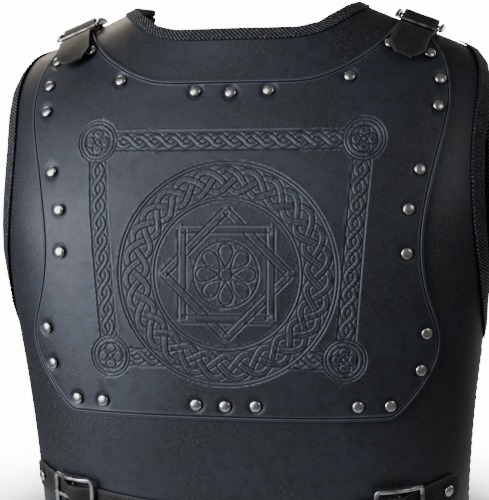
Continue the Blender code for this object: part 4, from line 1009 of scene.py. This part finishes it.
seamLook = {
    "first": mm(12), "last": mm(176), "pitch": mm(8), "inset": mm(5), "stitchWidth": mm(1.0),
    # A stitch from end to end: share of its length, height off the leather in thread widths.
    "stitchRise": ((0.0, -0.8), (0.06, 0.05), (0.35, 0.2), (0.65, 0.2), (0.94, 0.05), (1.0, -0.8)),
    "crossSpan": (0.2, 0.8), "crossRise": 0.2,       # where the second of two stitches passes over
    "outside": 0.3, "hem": mm(1),
}


def seamAt(look):
    # Where the shells meet at the side: the widest part of the hem.
    hem = [vertex.co for vertex in nodes["breast_panel"].data.vertices if vertex.co.z < look["hem"]]
    return max(hem, key=lambda place: place.x).y


def sideSeams(look):
    shells = BVHTree.FromBMesh(shownForm([breast, back]))
    middleY = seamAt(look)
    count = int((look["last"] - look["first"]) / look["pitch"])
    crossFrom, crossTo = look["crossSpan"]
    for side, sign in zip(sides, (1, -1)):
        out = Vector((sign, 0, 0))
        rows = []
        for low in (look["first"] + k * look["pitch"] for k in range(count)):
            for toward in (1, -1):
                points = []
                for share, rise in look["stitchRise"]:
                    y = middleY + look["inset"] * toward * (2 * share - 1)
                    start = Vector((sign * look["outside"], y, low + look["pitch"] * share))
                    if toward < 0 and crossFrom < share < crossTo:
                        rise += look["crossRise"]
                    spot = shells.ray_cast(start, -out, look["outside"])[0]
                    if spot is not None:
                        points.append(spot + out * look["stitchWidth"] * rise)
                if len(points) == len(look["stitchRise"]):
                    rows.append(points)
        stitchRow(f"sideLacing_{side}", rows, look)


sideSeams(seamLook)
print("side seams made")


# Floor, lights and camera

stageLook = {
    "floor": "#e9e9e7", "floorRoughness": 0.7, "floorSegments": 96,
    "floorFull": 0.21, "floorFaded": 0.415, "floorEnd": 0.42,
    "keyPlace": (-1.15, -1.06, 0.44), "keySize": 1.2, "keyPower": 33.0, "keyColour": "#e4ebff",
    "frontPlace": (-0.75, -1.6, 1.3), "frontSize": 0.9, "frontPower": 11.0, "frontColour": "#e9efff",
    "topPlace": (-0.75, 0.75, 1.25), "topSize": 0.8, "topPower": 8.5, "topColour": "#fff1dc",
    "sidePlace": (1.25, -0.75, 0.95), "sideSize": 0.6, "sidePower": 2.5, "sideColour": "#f4f7ff",
    "rearPlace": (0.9, 1.45, 0.55), "rearSize": 1.2, "rearPower": 16.0, "rearColour": "#f4f7ff",
    "aim": (0, 0, 0.28), "world": 0.11, "backdrop": 14.0, "white": (1, 1, 1, 1),
}


def floorPiece(look):
    form = bmesh.new()
    bmesh.ops.create_circle(form, cap_ends=True, segments=look["floorSegments"], radius=look["floorEnd"])
    mesh = bpy.data.meshes.new("floor")
    form.to_mesh(mesh)
    form.free()
    # Matt pale paint, which fades into the white backdrop away from the object.
    material, tree, shader = newMaterial("paleFloorPaint")
    place = addNode(tree, "TexCoord")
    away = addNode(tree, "VectorMath", {"operation": "LENGTH"}, [(place, "Object")])
    fade = addNode(tree, "MapRange", {"interpolation_type": "SMOOTHSTEP"}, [
        (away, "Value"), look["floorFull"], look["floorFaded"], 1.0, 0.0])
    setInputs(tree, shader, {"Base Color": hexColour(look["floor"]), "Roughness": look["floorRoughness"],
                             "Alpha": (fade, 0)})
    mesh.materials.append(material)
    floor = newObject("floor", mesh)


def lamps(look):
    for name in ("key", "front", "top", "side", "rear"):
        light = bpy.data.lights.new(name, "AREA")
        light.shape = "DISK"
        light.size = look[name + "Size"]
        light.energy = look[name + "Power"]
        light.color = hexColour(look[name + "Colour"])[:3]
        lamp = newObject(name, light)
        lamp.location = look[name + "Place"]
        lamp.rotation_euler = (Vector(look["aim"]) - lamp.location).to_track_quat("-Z", "Y").to_euler()


def backdrop(look):
    # A dim glow on the object, and white behind it.
    world = bpy.data.worlds.new("studio")
    world.use_nodes = True
    bpy.context.scene.world = world
    tree = world.node_tree
    glow = tree.nodes["Background"]
    setInputs(tree, glow, {"Strength": look["world"], "Color": look["white"]})
    bright = addNode(tree, "Background", None, {"Strength": look["backdrop"], "Color": look["white"]})
    rays = addNode(tree, "LightPath")
    both = addNode(tree, "MixShader", None, {0: (rays, "Is Camera Ray"), 1: (glow, 0), 2: (bright, 0)})
    setInputs(tree, tree.nodes["World Output"], {"Surface": (both, 0)})


cameraLook = {
    "target": (0.013, -0.0928, 0.265), "distance": 0.999,
    "yaw": 10.575, "pitch": 6.004, "roll": -0.865,
    "focalPixels": 1258.5, "imageHeight": 500, "sensor": 36.0, "clip": (0.05, 50),
}


def camera(look):
    yaw, pitch, roll = (math.radians(look[name]) for name in ("yaw", "pitch", "roll"))
    behind = Vector((math.sin(yaw) * math.cos(pitch), -math.cos(yaw) * math.cos(pitch), math.sin(pitch)))
    right = Vector((math.cos(yaw), math.sin(yaw), 0))
    up = behind.cross(right)
    turnedRight = right * math.cos(roll) + up * math.sin(roll)
    turnedUp = up * math.cos(roll) - right * math.sin(roll)
    data = bpy.data.cameras.new("camera")
    data.sensor_width = look["sensor"]
    data.lens = look["focalPixels"] * look["sensor"] / look["imageHeight"]
    data.clip_start, data.clip_end = look["clip"]
    made = newObject("camera", data)
    made.matrix_world = placedAxes((turnedRight, turnedUp, behind),
                                   Vector(look["target"]) + behind * look["distance"])
    bpy.context.scene.camera = made


floorPiece(stageLook)
lamps(stageLook)
backdrop(stageLook)
camera(cameraLook)
print("stage, lights and camera made")
